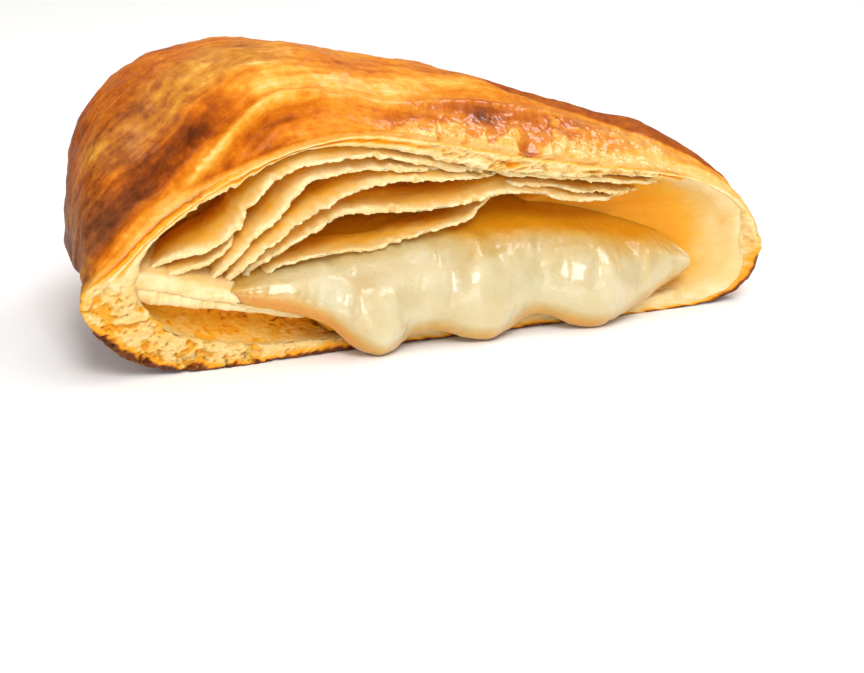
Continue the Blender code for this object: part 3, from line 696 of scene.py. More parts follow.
# %% Body of the pastry
BODY_AROUND = 544
BACK_ROWS, FRONT_ROWS, RIM_ROWS, HOLLOW_ROWS = 70, 78, 12, 22
FRONT_TO = 22.0

# The rim joins each place on the cut outline to one on the hollow: left tip, crown, right tip and underside.
RIM_PLACES = (0.0, 0.238, 0.300, 0.381, 0.476, 0.571, 0.667, 0.738, 0.786, 0.845, 0.905, 1.0)
HOLLOW_PLACES = (-0.227, 0.0, 0.060, 0.130, 0.227, 0.318, 0.441, 0.510, 0.568, 0.625, 0.682, 0.773)


def upper_density(line):
    """The upper crust gets about twice the points of the base."""
    return 1 + 1.1 * ease((line[:, 1] - 6) / 6) + 0.6 * bell((line[:, 1] - SEAM_HEIGHT) / 3.5)


def right_rounding(x, share):
    """How far the rim turns back into the hollow at the right-hand end, where it is soft and rounded."""
    return 2.2 * ease((x - 30) / 14) * share ** 2


def outer_surface(where, depth):
    """The body with its relief, and what the material needs at each point."""
    plain = body(where, depth)
    normal = normals_of(plain)
    fade = ease((DEPTH - np.asarray(depth)) / 8)[:, None]
    height = big_relief(plain) * fade
    upper = ease((plain[..., 2] - 9) / 5)
    left = ease((-20 - plain[..., 0]) / 14)
    fine = (0.16 + 0.22 * left) * streaks(plain, where, 3) + 0.16 * fractal(plain / 2.2, 3, 61)
    fine = fine - 0.30 * bare_edge(plain) + 0.34 * peel_and_glint(plain)
    fine = fine + 0.36 * wet_zone(plain) * fractal(plain / 1.3, 3, 62)
    fine = fine - PIT_DEPTH * np.exp(-(np.linalg.norm(plain - np.array(PIT), axis=-1) / PIT_RADIUS) ** 4)
    height = height + fade * upper * fine
    low = (1 - upper) * ease((plain[..., 2] - 0.8) / 3)
    height = height + fade * low * 0.22 * fractal(plain / 2.0, 3, 71)
    points = plain + normal * height[..., None]
    ragged = ease((points[..., 0] + 14) / 10) * ease((40 - points[..., 0]) / 8)
    ragged = ragged * ease((points[..., 2] - 15) / 4)
    torn_back = 1.3 * np.maximum(fractal(points * np.array([0.9, 0.2, 0.5]) / 1.4, 3, 67), -0.3)
    points[..., 1] += ragged * torn_back * np.exp(-np.asarray(depth)[:, None] / 1.2)
    points[..., 2] = np.maximum(points[..., 2], 0.0)
    look = browning_and_shade(plain, where)
    look["around"] = where * CREST_LENGTH + 0 * plain[..., 0]
    return points, look


where = spread(closed_curve, CREST_OUTLINE, BODY_AROUND, True, upper_density)
far = np.linspace(0.03, np.sqrt(1 - FRONT_TO / DEPTH), BACK_ROWS)
depths = np.concatenate([DEPTH * (1 - far ** 2), np.linspace(FRONT_TO, 0.5, FRONT_ROWS + 1)[1:]])
outer, look = outer_surface(where, depths)

hollow_edge = closed_curve(HOLLOW_OUTLINE, np.interp(where, RIM_PLACES, HOLLOW_PLACES))
hollow_middle = closed_curve(HOLLOW_OUTLINE, np.linspace(0, 1, 400, endpoint=False)).mean(axis=0)
cut_edge = body(where, [0.0])[0][:, [0, 2]]
share = np.linspace(0.04, 1.0, RIM_ROWS)[:, None, None]
rim_flat = np.maximum(cut_edge * (1 - share) + hollow_edge * share, [-np.inf, 0.0])
smooth_right = ease((rim_flat[..., 0] - 37) / 5) * (1 - ease((rim_flat[..., 0] - 48) / 1.5))
rim_depth = 0.9 - 0.8 * smooth_right + right_rounding(rim_flat[..., 0], share[..., 0])
rim = np.stack([rim_flat[..., 0], rim_depth, rim_flat[..., 1]], -1)
rim[..., 1] += smooth_right * 0.16 * fractal(rim / 2.4, 3, 85)
rim_depth = rim[..., 1]
back = (np.linspace(0.05, 0.995, HOLLOW_ROWS) ** 0.8)[:, None] * (HOLLOW_DEPTH - rim_depth[-1])
part = back / back.max(axis=0)
size = (1 - 0.55 * part ** 3) ** 0.5 * (1 - part ** 24) ** 0.5
bowl = ease((hollow_edge[:, 0] - 16) / 22)
size = (size * (1 - bowl) + (1 - part ** 1.5 * 0.98) * bowl)[..., None]
wall_flat = hollow_middle + (hollow_edge - hollow_middle) * size
wall = np.stack([wall_flat[..., 0], rim_depth[-1] + back * (1 - 0.35 * bowl), wall_flat[..., 1]], -1)
wall += 0.25 * fractal(wall / 3.0, 3, 81)[..., None] * np.array([0.3, 1.0, 0.3])
rings = np.concatenate([outer, rim, wall])
rows_inside = RIM_ROWS + HOLLOW_ROWS
# Across the rim the tone deepens towards the hollow, and on the wall it deepens further back: painted shade
# of the recess.
deep = np.concatenate([
    np.zeros(outer.shape[:2]), 0.03 + 0.17 * share[..., 0] ** 2 + 0.05 * fractal(rim / 2.0, 2, 86),
    np.clip(0.18 + 0.16 * ease(back / 4) + back / (36.0 + 30 * bowl) + 0.08 * fractal(wall / 4.0, 2, 83)
            + 0.16 * bowl * ease((46 - wall[..., 0]) / 8), 0, 0.62),
])
unread = np.zeros((rows_inside, BODY_AROUND))
look = {name: np.concatenate([value, unread]) for name, value in look.items()}
crust_or_leaf = [0] * len(outer) + [1] * rows_inside
crust = skin("baked_crust", rings, {**look, "deep": deep}, [CRUST, LEAF], crust_or_leaf)
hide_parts("pastry")

# %% [markdown]
# ## The torn face of the cut
# A knife tears soft layers more than it cuts them, so the face round the hollow is rough. Above, it is
# the edges of two or three leaves with a groove between them. At the lower left it is open sponge, and at
# the right it is smooth and rounded. It is a strip that runs once round with its own fine points, set
# just proud of the body. Its place across the rim is a share of the way from the crust, 0, to the hollow,
# 1.

# %% Torn rim
RIM_AROUND, RIM_FACE_ROWS = 1400, 30
NOISE_CIRCLE = 40
# At the upper left, (share of the way, depth of colour) from the crust to the hollow: orange crust, a
# pale line, a brown groove, which is painted shade, and the pale lip.
LEFT_BANDS = (
    (0.0, 0.48), (0.28, 0.52), (0.38, 0.0), (0.46, 0.02), (0.54, 0.50), (0.62, 0.48), (0.72, 0.0),
    (1.0, 0.10),
)
# Where the strip turns back into the body: (share of the way, mm behind the cut).
RIM_INSIDE = ((1.0, 1.2), (1.0, 2.2), (1.0, 3.2), (0.8, 3.6), (0.45, 3.2), (0.15, 2.4), (0.08, 1.4))


def sponge_mask(x, z):
    """1 where the cut face is open sponge: the lower left, and the rough nub at the right-hand end."""
    lower_left = ease((-16 - x) / 16) * ease((15.5 - z) / 5)
    nub = 0.7 * ease((x - 46) / 5) * ease((z - 4) / 5) * ease((17 - z) / 5)
    return np.maximum(lower_left, nub)


def sponge(points, size, seed):
    """Depth of open sponge, 0 to about 1.5: ragged pits where slow noise is high, and a grain of small
    crumbs."""
    spot = points * np.array([0.8, 1.0, 1.0]) / size
    spot = spot + 0.30 * fractal(spot * 1.7, 2, seed + 5)[..., None]
    pits = ease((fractal(spot, 3, seed) - 0.05) / 0.40)
    pores = ease((0.40 - cells(spot * 1.5, seed + 2)) / 0.30)
    grain = 0.5 + 0.5 * fractal(spot * 3.1, 3, seed + 3)
    return 0.7 * pits + 0.5 * pores + 0.5 * grain


rim_where = spread(closed_curve, CUT_OUTLINE, RIM_AROUND, True)
rim_cut = body(rim_where, [0.0])[0][:, [0, 2]]
rim_hollow = closed_curve(HOLLOW_OUTLINE, np.interp(rim_where, RIM_PLACES, HOLLOW_PLACES))
width = np.linalg.norm(rim_cut - rim_hollow, axis=1)[:, None]
face = np.linspace(0, 1, RIM_FACE_ROWS)
share = np.concatenate([face, [s for s, _ in RIM_INSIDE]])[None]
set_in = np.concatenate([0 * face, [d for _, d in RIM_INSIDE]])[None]
s = np.linspace(0, 1, RIM_AROUND, endpoint=False)[:, None]
# Noise that runs once round is read on a circle, so that its end meets its start.
round_once = [NOISE_CIRCLE * function(2 * np.pi * s) for function in (np.cos, np.sin)]
loop = np.stack(np.broadcast_arrays(*round_once, share), -1)
# Both edges of the strip wander by a fraction of a millimetre.
upper = ease((rim_cut[:, 1:2] - 12) / 5)
ragged_out = 0.24 * fractal(loop / 0.9, 3, 95)[:, :1]
ragged_in = 0.55 * fractal(loop / 1.6, 3, 96)[:, :1]
moved = share + (ragged_out * (1 - share) + ragged_in * share) / width
flat = rim_cut[:, None] * (1 - moved[..., None]) + rim_hollow[:, None] * moved[..., None]
strip_depth = set_in + right_rounding(flat[..., 0], share)
strip = np.stack([flat[..., 0], strip_depth, flat[..., 1]], -1)
# Where there is sponge, where the band is torn to shreds and where a groove parts the leaves.
x, z = strip[..., 0], strip[..., 2]
mask = sponge_mask(x, z)
pores = sponge(strip, 1.25, 5)
fibre = fractal(strip * np.array([0.45, 1, 1.2]) / 0.9, 4, 91)
at_left = ease((-29 - x) / 6) * ease((z - 13) / 2)
torn_band = upper * ease((x + 8) / 10) * ease((38 - x) / 6)
drawn_out = strip * np.array([0.42, 1, 1]) / 1.1 + 0.4 * fractal(strip / 1.6, 2, 92)[..., None]
shreds = np.abs(fractal(drawn_out, 4, 93))
groove = bell((share - 0.52 - 0.12 * fractal(loop / 5.0, 2, 97)) / 0.17)
groove = upper * (1 - 0.7 * torn_band) * (1 - 0.8 * at_left) * groove * ease((44 - x) / 6)
edge_out, edge_in = bell(share * width / 0.30), bell((1 - share) * width / 0.45)
calm_right = 1 - 0.8 * ease((x - 34) / 6) * (1 - mask)
# How far each spot stands out of the face, and then how deep its colour is, with painted shade in the pores,
# the torn crevices and the groove.
proud = 0.20 + 0.20 * fibre * calm_right - 0.95 * mask * (pores - 0.55)
proud = proud + torn_band * (0.75 - 1.9 * shreds) - 0.55 * groove - 0.40 * edge_out - 0.45 * edge_in
proud = proud - 1.5 * ease((x - 37) / 4) * (1 - mask) * ease((share - 0.20) / 0.25)
strip[..., 1] -= np.where(np.arange(share.size) < RIM_FACE_ROWS, proud, 0)
strip[..., 2] = np.maximum(strip[..., 2], 0.02)
low = ease((9 - z) / 4)
# The pores of the sponge get deeper colour here as painted shade.
rim_tone_and_shade = 0.12 + 0.10 * fractal(strip / 2.5, 2, 15) + 0.10 * fibre + mask * 0.38 * pores
left_bands = np.interp(share + 0.05 * fractal(loop / 1.5, 3, 94), *np.array(LEFT_BANDS).T)
baked_edge = bell(share * width / (1.5 + 0.7 * fractal(loop / 1.1, 2, 98)))
rim_tone_and_shade = rim_tone_and_shade * (1 - at_left) + at_left * (left_bands + 0.10 * fibre)
# The crevices between the shreds and the groove get deeper colour as painted shade.
rim_tone_and_shade = rim_tone_and_shade + 0.34 * torn_band * (shreds - 0.25) + 0.50 * groove
rim_tone_and_shade = rim_tone_and_shade + 0.30 * edge_out * (1 - low) + 1.15 * low * baked_edge
torn = skin("torn_rim", strip, {"deep": np.clip(rim_tone_and_shade, 0, 1)}, [LEAF], circle=True)

# %% [markdown]
# ## The leaves
# Each leaf is a wedge that starts at a thick, ragged edge near the cut and runs back into the hollow,
# where it meets the one above. Its edge is torn in four sizes at once: a slow wander, teeth and notches
# of one to three millimetres, hairs of less than half a millimetre, and fibres that droop. The same
# driving lines are in the solid.

# %% Leaves
LEAVES = (
    # Name, thickness, distance behind the cut, rise towards the back, how torn, line of the edge. Two
    # thicknesses are those of the left and the right end.
    ("roof_leaf", 0.5, 0.5, 2.6, 1.0, (
        (-43.8, 12.6), (-42.3, 13.8), (-39.5, 14.9), (-35.6, 15.8), (-32.3, 17.2), (-29.7, 19.2),
        (-28.0, 21.6), (-25.6, 24.0), (-22.5, 25.9), (-18.5, 27.0), (-13.9, 27.4), (-8.3, 26.7),
        (-2.4, 25.0), (3.7, 23.4), (9.0, 22.6),
    )),
    ("second_leaf", 0.5, 0.8, 2.8, 1.0, (
        (-36.0, 10.6), (-32.9, 12.2), (-30.1, 15.0), (-27.5, 17.3), (-24.8, 19.3), (-22.3, 22.0),
        (-20.0, 24.1), (-16.8, 25.0), (-12.4, 25.0), (-8.0, 24.6), (-2.4, 24.0), (2.7, 23.6),
    )),
    ("third_leaf", 0.45, 0.6, 2.6, 1.2, (
        (-34.0, 10.0), (-31.2, 11.4), (-28.4, 14.0), (-25.6, 16.0), (-21.8, 18.6), (-18.3, 20.4),
        (-14.5, 22.0), (-11.3, 22.6), (-7.6, 23.1), (-2.4, 22.9), (5.2, 22.4), (9.0, 22.3),
    )),
    ("fourth_leaf", 0.5, 1.2, 2.8, 1.1, (
        (-32.4, 9.6), (-29.4, 10.9), (-26.2, 13.5), (-22.7, 15.6), (-18.9, 17.3), (-15.4, 18.5),
        (-12.5, 18.8), (-6.9, 18.5), (-0.9, 18.5), (4.5, 19.0), (9.4, 19.9), (14.6, 19.3), (19.7, 18.1),
        (25.1, 17.3), (30.0, 17.4),
    )),
    ("fifth_leaf", 0.42, 1.4, 1.4, 0.8, (
        (-30.5, 9.2), (-27.4, 11.0), (-23.8, 12.7), (-19.4, 13.5), (-14.3, 13.7), (-9.5, 13.9), (-4.2, 14.9),
        (-0.6, 15.4), (3.9, 16.3), (6.6, 18.0), (9.5, 19.6),
    )),
    ("right_leaf", 0.5, 0.7, 1.6, 1.2, (
        (8.5, 22.4), (17.7, 21.3), (24.2, 20.3), (30.7, 19.4), (36.5, 18.4),
    )),
    ("arch_leaf", 0.5, 1.6, 1.6, 1.3, (
        (9.0, 21.2), (15.4, 20.3), (21.8, 19.0), (27.9, 17.9), (32.5, 17.6),
    )),
    ("tongue_leaf", (2.4, 1.5), -0.3, 2.6, 0.4, (
        (-48.2, 12.4), (-46.5, 12.9), (-43.5, 12.7), (-40.6, 12.0), (-35.8, 10.7), (-31.0, 9.3), (-26.1, 7.8),
        (-21.8, 6.6), (-17.5, 5.4), (-13.5, 4.4),
    )),
    ("tongue_face", (2.6, 1.3), 0.2, 0.2, 0.6, (
        (-47.4, 10.6), (-45.5, 11.2), (-43.0, 11.0), (-40.6, 10.3), (-35.8, 9.2), (-31.0, 8.2), (-26.1, 7.0),
        (-21.8, 5.9), (-17.5, 4.8),
    )),
    ("left_leaf", 0.5, 1.0, 1.4, 0.8, (
        (-42.8, 12.4), (-40.1, 13.2), (-37.1, 13.8), (-33.8, 14.6), (-31.2, 16.0), (-29.1, 17.9),
    )),
)
# The tongue lies open to the light, so less of it is golden.
TONGUE_TINT = {"tongue_leaf": 0.35, "tongue_face": 0.6}
LEAF_STEP = 0.14
LEAF_BACK = 13.8
LEAF_EDGE_ROWS, LEAF_BACK_ROWS = 9, 15
LEAF_FADE = 0.16


def leaf_rings(number, thickness, set_back, growth, torn, line):
    """Rings of one leaf. Each ring goes round the torn edge in a half circle, back over the top and back
    underneath. The top rises as 1 - exp(-distance behind the edge / 4 mm), less near the two ends of the
    leaf."""
    length = np.linalg.norm(np.diff(np.asarray(line, float), axis=0), axis=1).sum()
    count = int(length / LEAF_STEP)
    middle = open_curve(line, spread(open_curve, line, count, False))
    slope = np.gradient(middle, axis=0)
    slope /= np.linalg.norm(slope, axis=1)[:, None]
    upward = np.column_stack([-slope[:, 1], slope[:, 0]])
    s = np.linspace(0, length, count)
    along = np.column_stack([s, np.zeros(count), np.full(count, 7.7 * number)])
    ends = ease(np.minimum(s, length - s) / (LEAF_FADE * length))
    slow, quick = fractal(along / 3.4, 2, 200 + number), fractal(along / 0.9, 3, 230 + number)
    notch = ease((0.34 - cells(along / 2.2, 260 + number)) / 0.2)
    teeth = 0.5 * slow + 0.4 * quick + 0.8 * notch
    edge = set_back + 0.45 * fractal(along / 7.0, 2, 100 + number)
    edge = edge + torn * (0.30 * slow + 0.28 * quick + 0.6 * notch)
    edge = edge + 0.18 * torn * fractal(along / 0.4, 2, 280 + number)
    edge = (edge + 2.2 * (1 - ends))[:, None]
    thick = np.interp(s / length, [0, 1], np.broadcast_to(thickness, 2))
    whole = (thick / 2 * (0.35 + 0.65 * ends))[:, None]
    half = np.maximum(whole * (0.80 + 0.38 * fractal(along / 2.6, 3, 600 + number))[:, None], 0.12)
    turn = np.linspace(0, np.pi / 2, LEAF_EDGE_ROWS)[None]
    near = np.stack([half * (1 - np.cos(turn)), half * np.sin(turn)], -1)
    t = (np.arange(1, LEAF_BACK_ROWS + 1) / LEAF_BACK_ROWS)[None] ** 1.6
    far_depth = half + (LEAF_BACK - edge - half) * t
    behind = np.concatenate([near[..., 0], far_depth], axis=1)
    fading = np.exp(-(far_depth - half) / 1.1)
    lift = np.concatenate([near[..., 1], half * fading + 0.8 * whole * (1 - fading)], axis=1)
    inward = np.maximum(edge + behind - set_back, 0)
    rise = growth * ends[:, None] * (1 - np.exp(-inward / 4.0))
    sheet = np.stack([s[:, None] + 0 * behind, edge + behind, np.full(behind.shape, 5.1 * number)], -1)
    wander = 0.28 * fractal(along / 4.2, 2, 650 + number)[:, None] * np.exp(-behind / 2.5)
    ripple = 0.26 * fractal(sheet / np.array([7.0, 2.0, 1]), 3, 300 + number) + wander
    lumps = 0.13 * np.exp(-behind / 1.1) * fractal(sheet / np.array([1.2, 0.8, 1]), 3, 350 + number)
    rough = 0.07 * fractal(sheet / np.array([1.6, 0.45, 1]), 3, 370 + number) + lumps
    droop = torn * (0.40 * np.abs(fractal(along / 1.5, 3, 400 + number)) - 0.1)[:, None]
    droop = droop * np.exp(-behind / 0.5)
    top = lift + rise + ripple + rough
    under = -lift - 0.3 * behind / LEAF_BACK + ripple * np.exp(-behind / 4) - rough - droop
    offset = np.concatenate([top, under[:, :0:-1]], axis=1)
    behind_all = np.concatenate([behind, behind[:, :0:-1]], axis=1)
    flat = middle[:, None] + upward[:, None] * offset[..., None]
    drawn_in = 1 - 0.16 * (behind_all / LEAF_BACK) ** 2
    rings = np.stack([flat[..., 0] * drawn_in, edge + behind_all, flat[..., 1]], -1)
    return rings, behind_all, teeth[:, None]


for number, (name, *sizes) in enumerate(LEAVES):
    rings, behind, teeth = leaf_rings(number, *sizes)
    fibres = fractal(rings * np.array([0.25, 1.1, 1.1]), 3, 9)
    # Behind each torn edge the leaf turns gold and darker: painted shade and bounced light in the gap under
    # the leaf above.
    gold_and_gap_shade = (0.40 * ease(behind / 8.0) + 0.28 * ease(behind / 1.3)) * TONGUE_TINT.get(name, 1)
    tint = 0.03 + gold_and_gap_shade + 0.12 * fibres
    leaf = skin(name, rings, {"deep": np.clip(tint + 0.12 * teeth * np.exp(-behind), 0, 0.66)}, [LEAF])

# %% [markdown]
# ## The sponge under the tongue
# Below the thick tongue of dough there is a shallow recess, and its floor is open sponge that comes
# forward to the rim. It is a curved sheet: it runs from high at the back, y = 4.7, down and forward to
# the rim at y = 0.1, and the pores press it in.

# %% Sponge bed
BED_FROM, BED_TO = -45.5, -11.0
BED_TOP = (
    (-45.5, 11.4), (-40.6, 9.8), (-35.8, 8.6), (-31, 7.4), (-26, 6.0), (-21, 4.8), (-16, 3.8), (-11, 3.0),
)
BED_LIP = ((-45.5, 8.6), (-42.6, 7.4), (-37.5, 4.2), (-29.1, 2.3), (-18.0, 1.9), (-11, 1.9))
BED_ALONG, BED_ACROSS = 230, 90

x = np.linspace(BED_FROM, BED_TO, BED_ALONG)[:, None]
high, lip = height_along(BED_TOP, x), height_along(BED_LIP, x)
v = np.linspace(0, 1, BED_ACROSS)[None]
fall = 1 - np.sin(np.pi / 2 * v) ** 0.85
end_fade = ease((x - BED_FROM) / 4)
bed = np.stack([x + 0 * v, 0.1 + (4.6 * end_fade) * (1 - v ** 1.3), lip + 0.3 + (high - lip) * fall], -1)
bed_pores = sponge(bed, 1.5, 25)
lumps = fractal(bed / 2.2, 3, 26)
pressed = 0.5 * bed_pores - 0.45 * lumps
bed[..., 1] += pressed * (0.4 + 0.6 * v)
bed[..., 2] -= 0.5 * pressed * (1 - v)
behind_bed = bed[:, ::-1] + np.array([0, 1.3, -0.5])
# Darker high at the back, right under the tongue, and in the pores: painted shade.
bed_tone_and_shade = np.clip(0.76 - 0.58 * v ** 0.5 + 0.24 * bed_pores - 0.10 * lumps, 0, 1)
bed_piece = skin("sponge_bed", np.concatenate([bed, behind_bed], axis=1), {
    "deep": np.concatenate([bed_tone_and_shade, bed_tone_and_shade[:, ::-1]], axis=1),
}, [LEAF])

# %% [markdown]
# ## The cheese
# The filling is one smooth mass: its section at each x runs from the back of the filling over the top,
# down a swollen front to the lip of the base, and back along the dough. Three lobes hang where the lowest
# point dips. Soft folds and strands, added along the normals, keep the lobes from looking moulded.

# %% Melted cheese
CHEESE_TOP = (
    (-33, 11.3), (-29.5, 12.1), (-23.8, 13.1), (-17.3, 14.0), (-9.9, 14.7), (-2.4, 15.4), (5.3, 16.0),
    (14.6, 15.9), (22.7, 14.8), (31, 12.6), (36.1, 10.6), (39.8, 8.6),
)
CHEESE_LOW = (
    (-33, 8.7), (-28, 7.7), (-23.5, 6.6), (-19.3, 5.0), (-16, 2.2), (-12.1, 0.3), (-8.6, 1.0),
    (-5.4, 2.1), (-2, 1.9), (1.5, 0.7), (4.9, 0.3), (8.6, 1.0), (12.4, 2.4), (15.6, 1.9), (19, 0.7),
    (22, 0.3), (26, 0.8), (30, 2.0), (34.5, 3.4), (39.8, 5.2),
)
CHEESE_SWELL = (
    (-33, 0.5), (-26, 2.0), (-19, 3.6), (-12, 6.0), (-5.4, 3.7), (5, 5.9), (12.4, 3.5), (22, 6.1),
    (30, 3.4), (36, 1.6), (39.8, 0.4),
)
CHEESE_DEPTH, CHEESE_FLOOR, CHEESE_LOWEST, CHEESE_RISE = 40.0, 2.6, 0.15, 2.6
CHEESE_STATIONS, CHEESE_AROUND = 400, 220
# Folds that hang down the front: x, height, rise, half width and half length.
CHEESE_FOLDS = (
    (4.0, 10.8, 1.1, 2.7, 4.6), (22.6, 8.8, 1.2, 2.7, 4.4), (-10.0, 6.0, 0.5, 2.6, 4.0),
    (31.5, 8.0, 0.5, 1.4, 3.2), (35.0, 7.0, 0.3, 1.2, 2.6), (13.5, 9.0, -0.6, 3.0, 4.5),
)


def cheese_rings(x, count):
    """Rings of the cheese, one for each x, as smooth loops through fourteen guiding points."""
    start, end = CHEESE_ENDS
    top, low = height_along(CHEESE_TOP, x), height_along(CHEESE_LOW, x)
    swell = height_along(CHEESE_SWELL, x)
    across = np.abs((x - (start + end) / 2) / ((end - start) / 2))
    fullness = np.sqrt(np.maximum(1 - across ** 5.0, 0))
    back = CHEESE_DEPTH * fullness ** 0.8
    height = top - low
    rise = CHEESE_RISE * fullness
    floor = np.minimum(np.maximum(CHEESE_FLOOR, low - 0.4), top)
    lip = np.maximum(low + 0.15 * height, np.minimum(CHEESE_FLOOR, low + 0.5 * height))
    inside = np.maximum(CHEESE_FLOOR + 0.1, low - 1.0)
    centre = (top + np.minimum(low, top)) / 2
    loop = (
        (back, centre + 0.22 * height),
        (0.72 * back, top + 0.3 * rise),
        (0.36 * back, top + rise),
        (3.8 + 0 * x, top - 0.04 * height),
        (-0.15 * swell, top - 0.25 * height),
        (-0.70 * swell, top - 0.44 * height),
        (-0.98 * swell, top - 0.68 * height),
        (-0.93 * swell, top - 0.88 * height),
        (-0.62 * swell, low),
        (-0.62 + 0 * x, lip - 0.25),
        (1.2 + 0 * x, floor + 0.1),
        (0.22 * back, np.minimum(floor, 0.5 * floor + 0.5 * inside)),
        (0.5 * back, inside),
        (0.82 * back, inside + 0.5),
    )
    control = np.stack([np.stack([y, z], -1) for y, z in loop])
    # Most of the points go to the front, from the top of the filling to the lip.
    few = count // 7
    place = np.concatenate([
        np.linspace(0, 2.0, few, endpoint=False), np.linspace(2.0, 10, count - 2 * few, endpoint=False),
        np.linspace(10, 14, few, endpoint=False),
    ]) / len(loop)
    rings = closed_curve(control.reshape(len(loop), -1), place).reshape(count, len(x), 2)
    rings[..., 0] *= fullness
    rings[..., 1] = centre + (rings[..., 1] - centre) * fullness ** 0.5
    rings[..., 1] = np.maximum(rings[..., 1], CHEESE_LOWEST)
    rings = np.stack([np.broadcast_to(x, (count, len(x))), rings[..., 0], rings[..., 1]], -1)
    return rings.transpose(1, 0, 2)


turn = np.linspace(0, np.pi, CHEESE_STATIONS + 2)[1:-1]
even = np.linspace(0, 1, CHEESE_STATIONS + 2)[1:-1]
x = CHEESE_ENDS[0] + (CHEESE_ENDS[1] - CHEESE_ENDS[0]) * (0.3 * (1 - np.cos(turn)) / 2 + 0.7 * even)
rings = cheese_rings(x, CHEESE_AROUND)
normal = normals_of(rings)
outwards = np.sign(np.einsum("ijk,ijk->ij", normal, rings - rings.mean(axis=1, keepdims=True)).sum())
# The relief fades away at the two ends and behind the cut.
x, y, z = np.moveaxis(rings, -1, 0)
ends = ease(np.minimum(x - CHEESE_ENDS[0], CHEESE_ENDS[1] - x) / 4)
lumps = 0.40 * fractal(rings * np.array([1, 1, 0.6]) / 4.5, 2, 41) + 0.06 * fractal(rings / 1.6, 2, 43)
pulled = 0.60 + 0.40 * ease((x - 24) / 8) * ease((z - 3) / 4)
leaning = np.stack([(x - 0.35 * z) / 1.7, y / 6, z / 10], -1)
strands = 0.24 * fractal(leaning, 2, 45)
front = ease((4 - y) / 4)
folds = 0.0
for fold_x, fold_z, rise, wide, tall in CHEESE_FOLDS:
    off = (x - fold_x - 0.10 * (z - fold_z)) / wide
    folds = folds + rise * np.exp(-off ** 2 - ((z - fold_z) / tall) ** 2)
rings = rings + outwards * normal * (ends * front * (lumps + folds + pulled * strands))[..., None]
rings[..., 2] = np.maximum(rings[..., 2], CHEESE_LOWEST)
# It is golden at the lip. Where it runs back inside and where it reaches up into the arch, the gold is
# painted shade.
x, y, z = np.moveaxis(rings, -1, 0)
low_line, top_line = height_along(CHEESE_LOW, x), height_along(CHEESE_TOP, x)
in_arch = ease((x + 2) / 8) * ease((36 - x) / 6)
thin = 0.72 * ease(1 - (z - low_line) / 2.8) + 0.95 * ease((y + 0.5) / 7)
thin = thin + 0.95 * in_arch * ease((z - top_line + 6.0) / 7.5)
thin = thin + 0.45 * ease((-13 - x) / 5) * ease(1.2 - (z - low_line) / 3.5)
thin += 0.15 * ease((-18 - x) / 12) + 0.08 * fractal(rings / 5.0, 2, 47)
cheese = skin("melted_cheese", rings, {"thin": np.clip(thin, 0, 1)}, [CHEESE])
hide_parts("cheese")

# %% [markdown]
# ## Floor, light and camera
# The pastry lies on a plain pale floor in soft studio light. A wide box overhead gives most of it. A
# small one at the right and behind puts the glints on the wet slope, and a tall one in front, like a
# window, the long highlights on the cheese. A low one lights the hollow, and weak ones from the side and
# from behind and an even pale surround fill the shadows. The camera looks at the cut face a little from
# the left and from 17 degrees above.

# %% Floor
FLOOR_HALF = 3.0
floor_mesh = bpy.data.meshes.new("floor")
corners = [(x * FLOOR_HALF, y * FLOOR_HALF, 0) for x, y in ((-1, -1), (1, -1), (1, 1), (-1, 1))]
floor_mesh.from_pydata(corners, [], [(0, 1, 2, 3)])
floor = bpy.data.objects.new("floor", floor_mesh)
bpy.context.scene.collection.objects.link(floor)
paper, tree, output = empty_material("pale_floor")
shader = add(tree, "BsdfPrincipled", {"Base Color": linear("#FFFFFF"), "Roughness": 0.8})
tree.links.new(shader.outputs[0], output.inputs["Surface"])
floor_mesh.materials.append(paper)

# %% Light
world = bpy.data.worlds.new("soft_surround")
bpy.context.scene.world = world
world.use_nodes = True
surround = world.node_tree.nodes["Background"]
surround.inputs["Color"].default_value = linear("#FFFFFF")
surround.inputs["Strength"].default_value = 0.40
MIDDLE = Vector((-SHIFT[0] * MM, (10 - SHIFT[1]) * MM, 0.015))


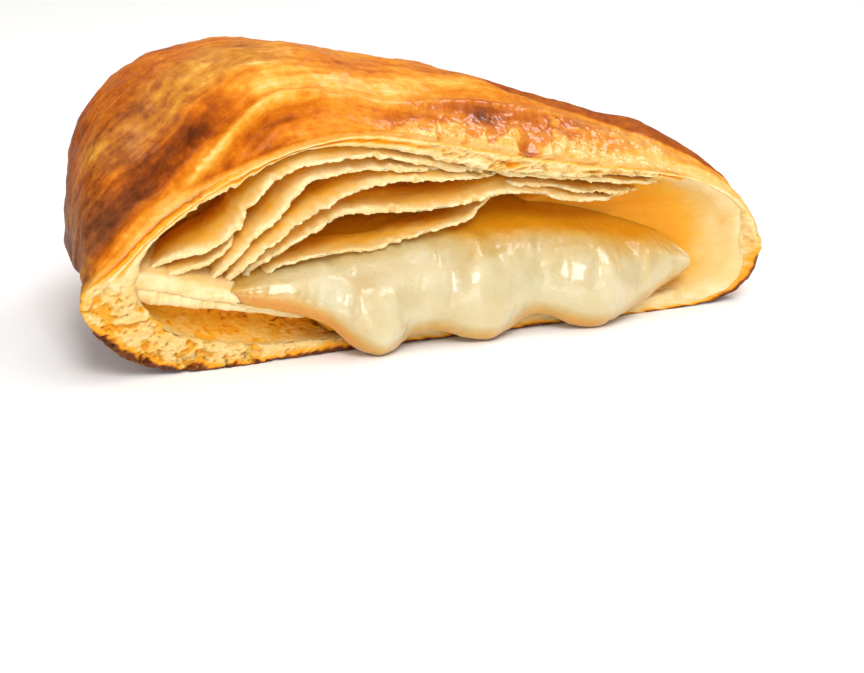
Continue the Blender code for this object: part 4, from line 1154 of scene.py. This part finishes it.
def towards(azimuth, elevation):
    """Unit vector to a place in the room: degrees to the right of straight in front, and degrees up."""
    a, e = np.radians(azimuth), np.radians(elevation)
    return Vector((np.sin(a) * np.cos(e), -np.cos(a) * np.cos(e), np.sin(e)))


def soft_box(name, azimuth, elevation, distance, wide, tall, power, code):
    """An oblong area light that looks at the middle of the pastry. Sizes are in metres, power in watts."""
    light = bpy.data.lights.new(name, "AREA")
    light.shape, light.size, light.size_y = "RECTANGLE", wide, tall
    light.energy, light.color = power, linear(code)[:3]
    box = bpy.data.objects.new(name, light)
    back = towards(azimuth, elevation)
    box.location = MIDDLE + back * distance
    box.rotation_euler = back.to_track_quat("Z", "Y").to_euler()
    bpy.context.scene.collection.objects.link(box)


soft_box("overhead", 30, 62, 0.9, 0.8, 0.8, 1.85, "#FFFBF5")
soft_box("right_and_behind", 98, 56, 0.8, 0.35, 0.2, 1.3, "#FFFFFF")
soft_box("tall_window", -12, 46, 0.8, 0.24, 0.42, 3.1, "#FFFFFF")
soft_box("low_front", -15, 12, 0.9, 0.7, 0.25, 1.3, "#FFFFFF")
soft_box("side", -70, 30, 0.8, 0.3, 0.3, 0.6, "#FFFFFF")
soft_box("from_behind", 165, 55, 1.0, 0.5, 0.5, 1.8, "#FFFCF6")

# %% Camera
# Found by fitting the outline of the photo: distance and aim are in millimetres.
CAMERA_AZIMUTH, CAMERA_ELEVATION, CAMERA_DISTANCE = -24.0, 17.0, 286.98
LOOKED_AT = np.array([-2.09, 0.0, 0.51])
camera = bpy.data.cameras.new("camera")
camera.lens, camera.sensor_width = 85.0, 36.0
camera.clip_start, camera.clip_end = 0.01, 20.0
eye = bpy.data.objects.new("camera", camera)
back = towards(CAMERA_AZIMUTH, CAMERA_ELEVATION)
eye.location = Vector((LOOKED_AT - SHIFT) * MM) + back * CAMERA_DISTANCE * MM
eye.rotation_euler = back.to_track_quat("Z", "Y").to_euler()
bpy.context.scene.collection.objects.link(eye)
bpy.context.scene.camera = eye
bpy.context.scene.view_settings.view_transform = "Standard"
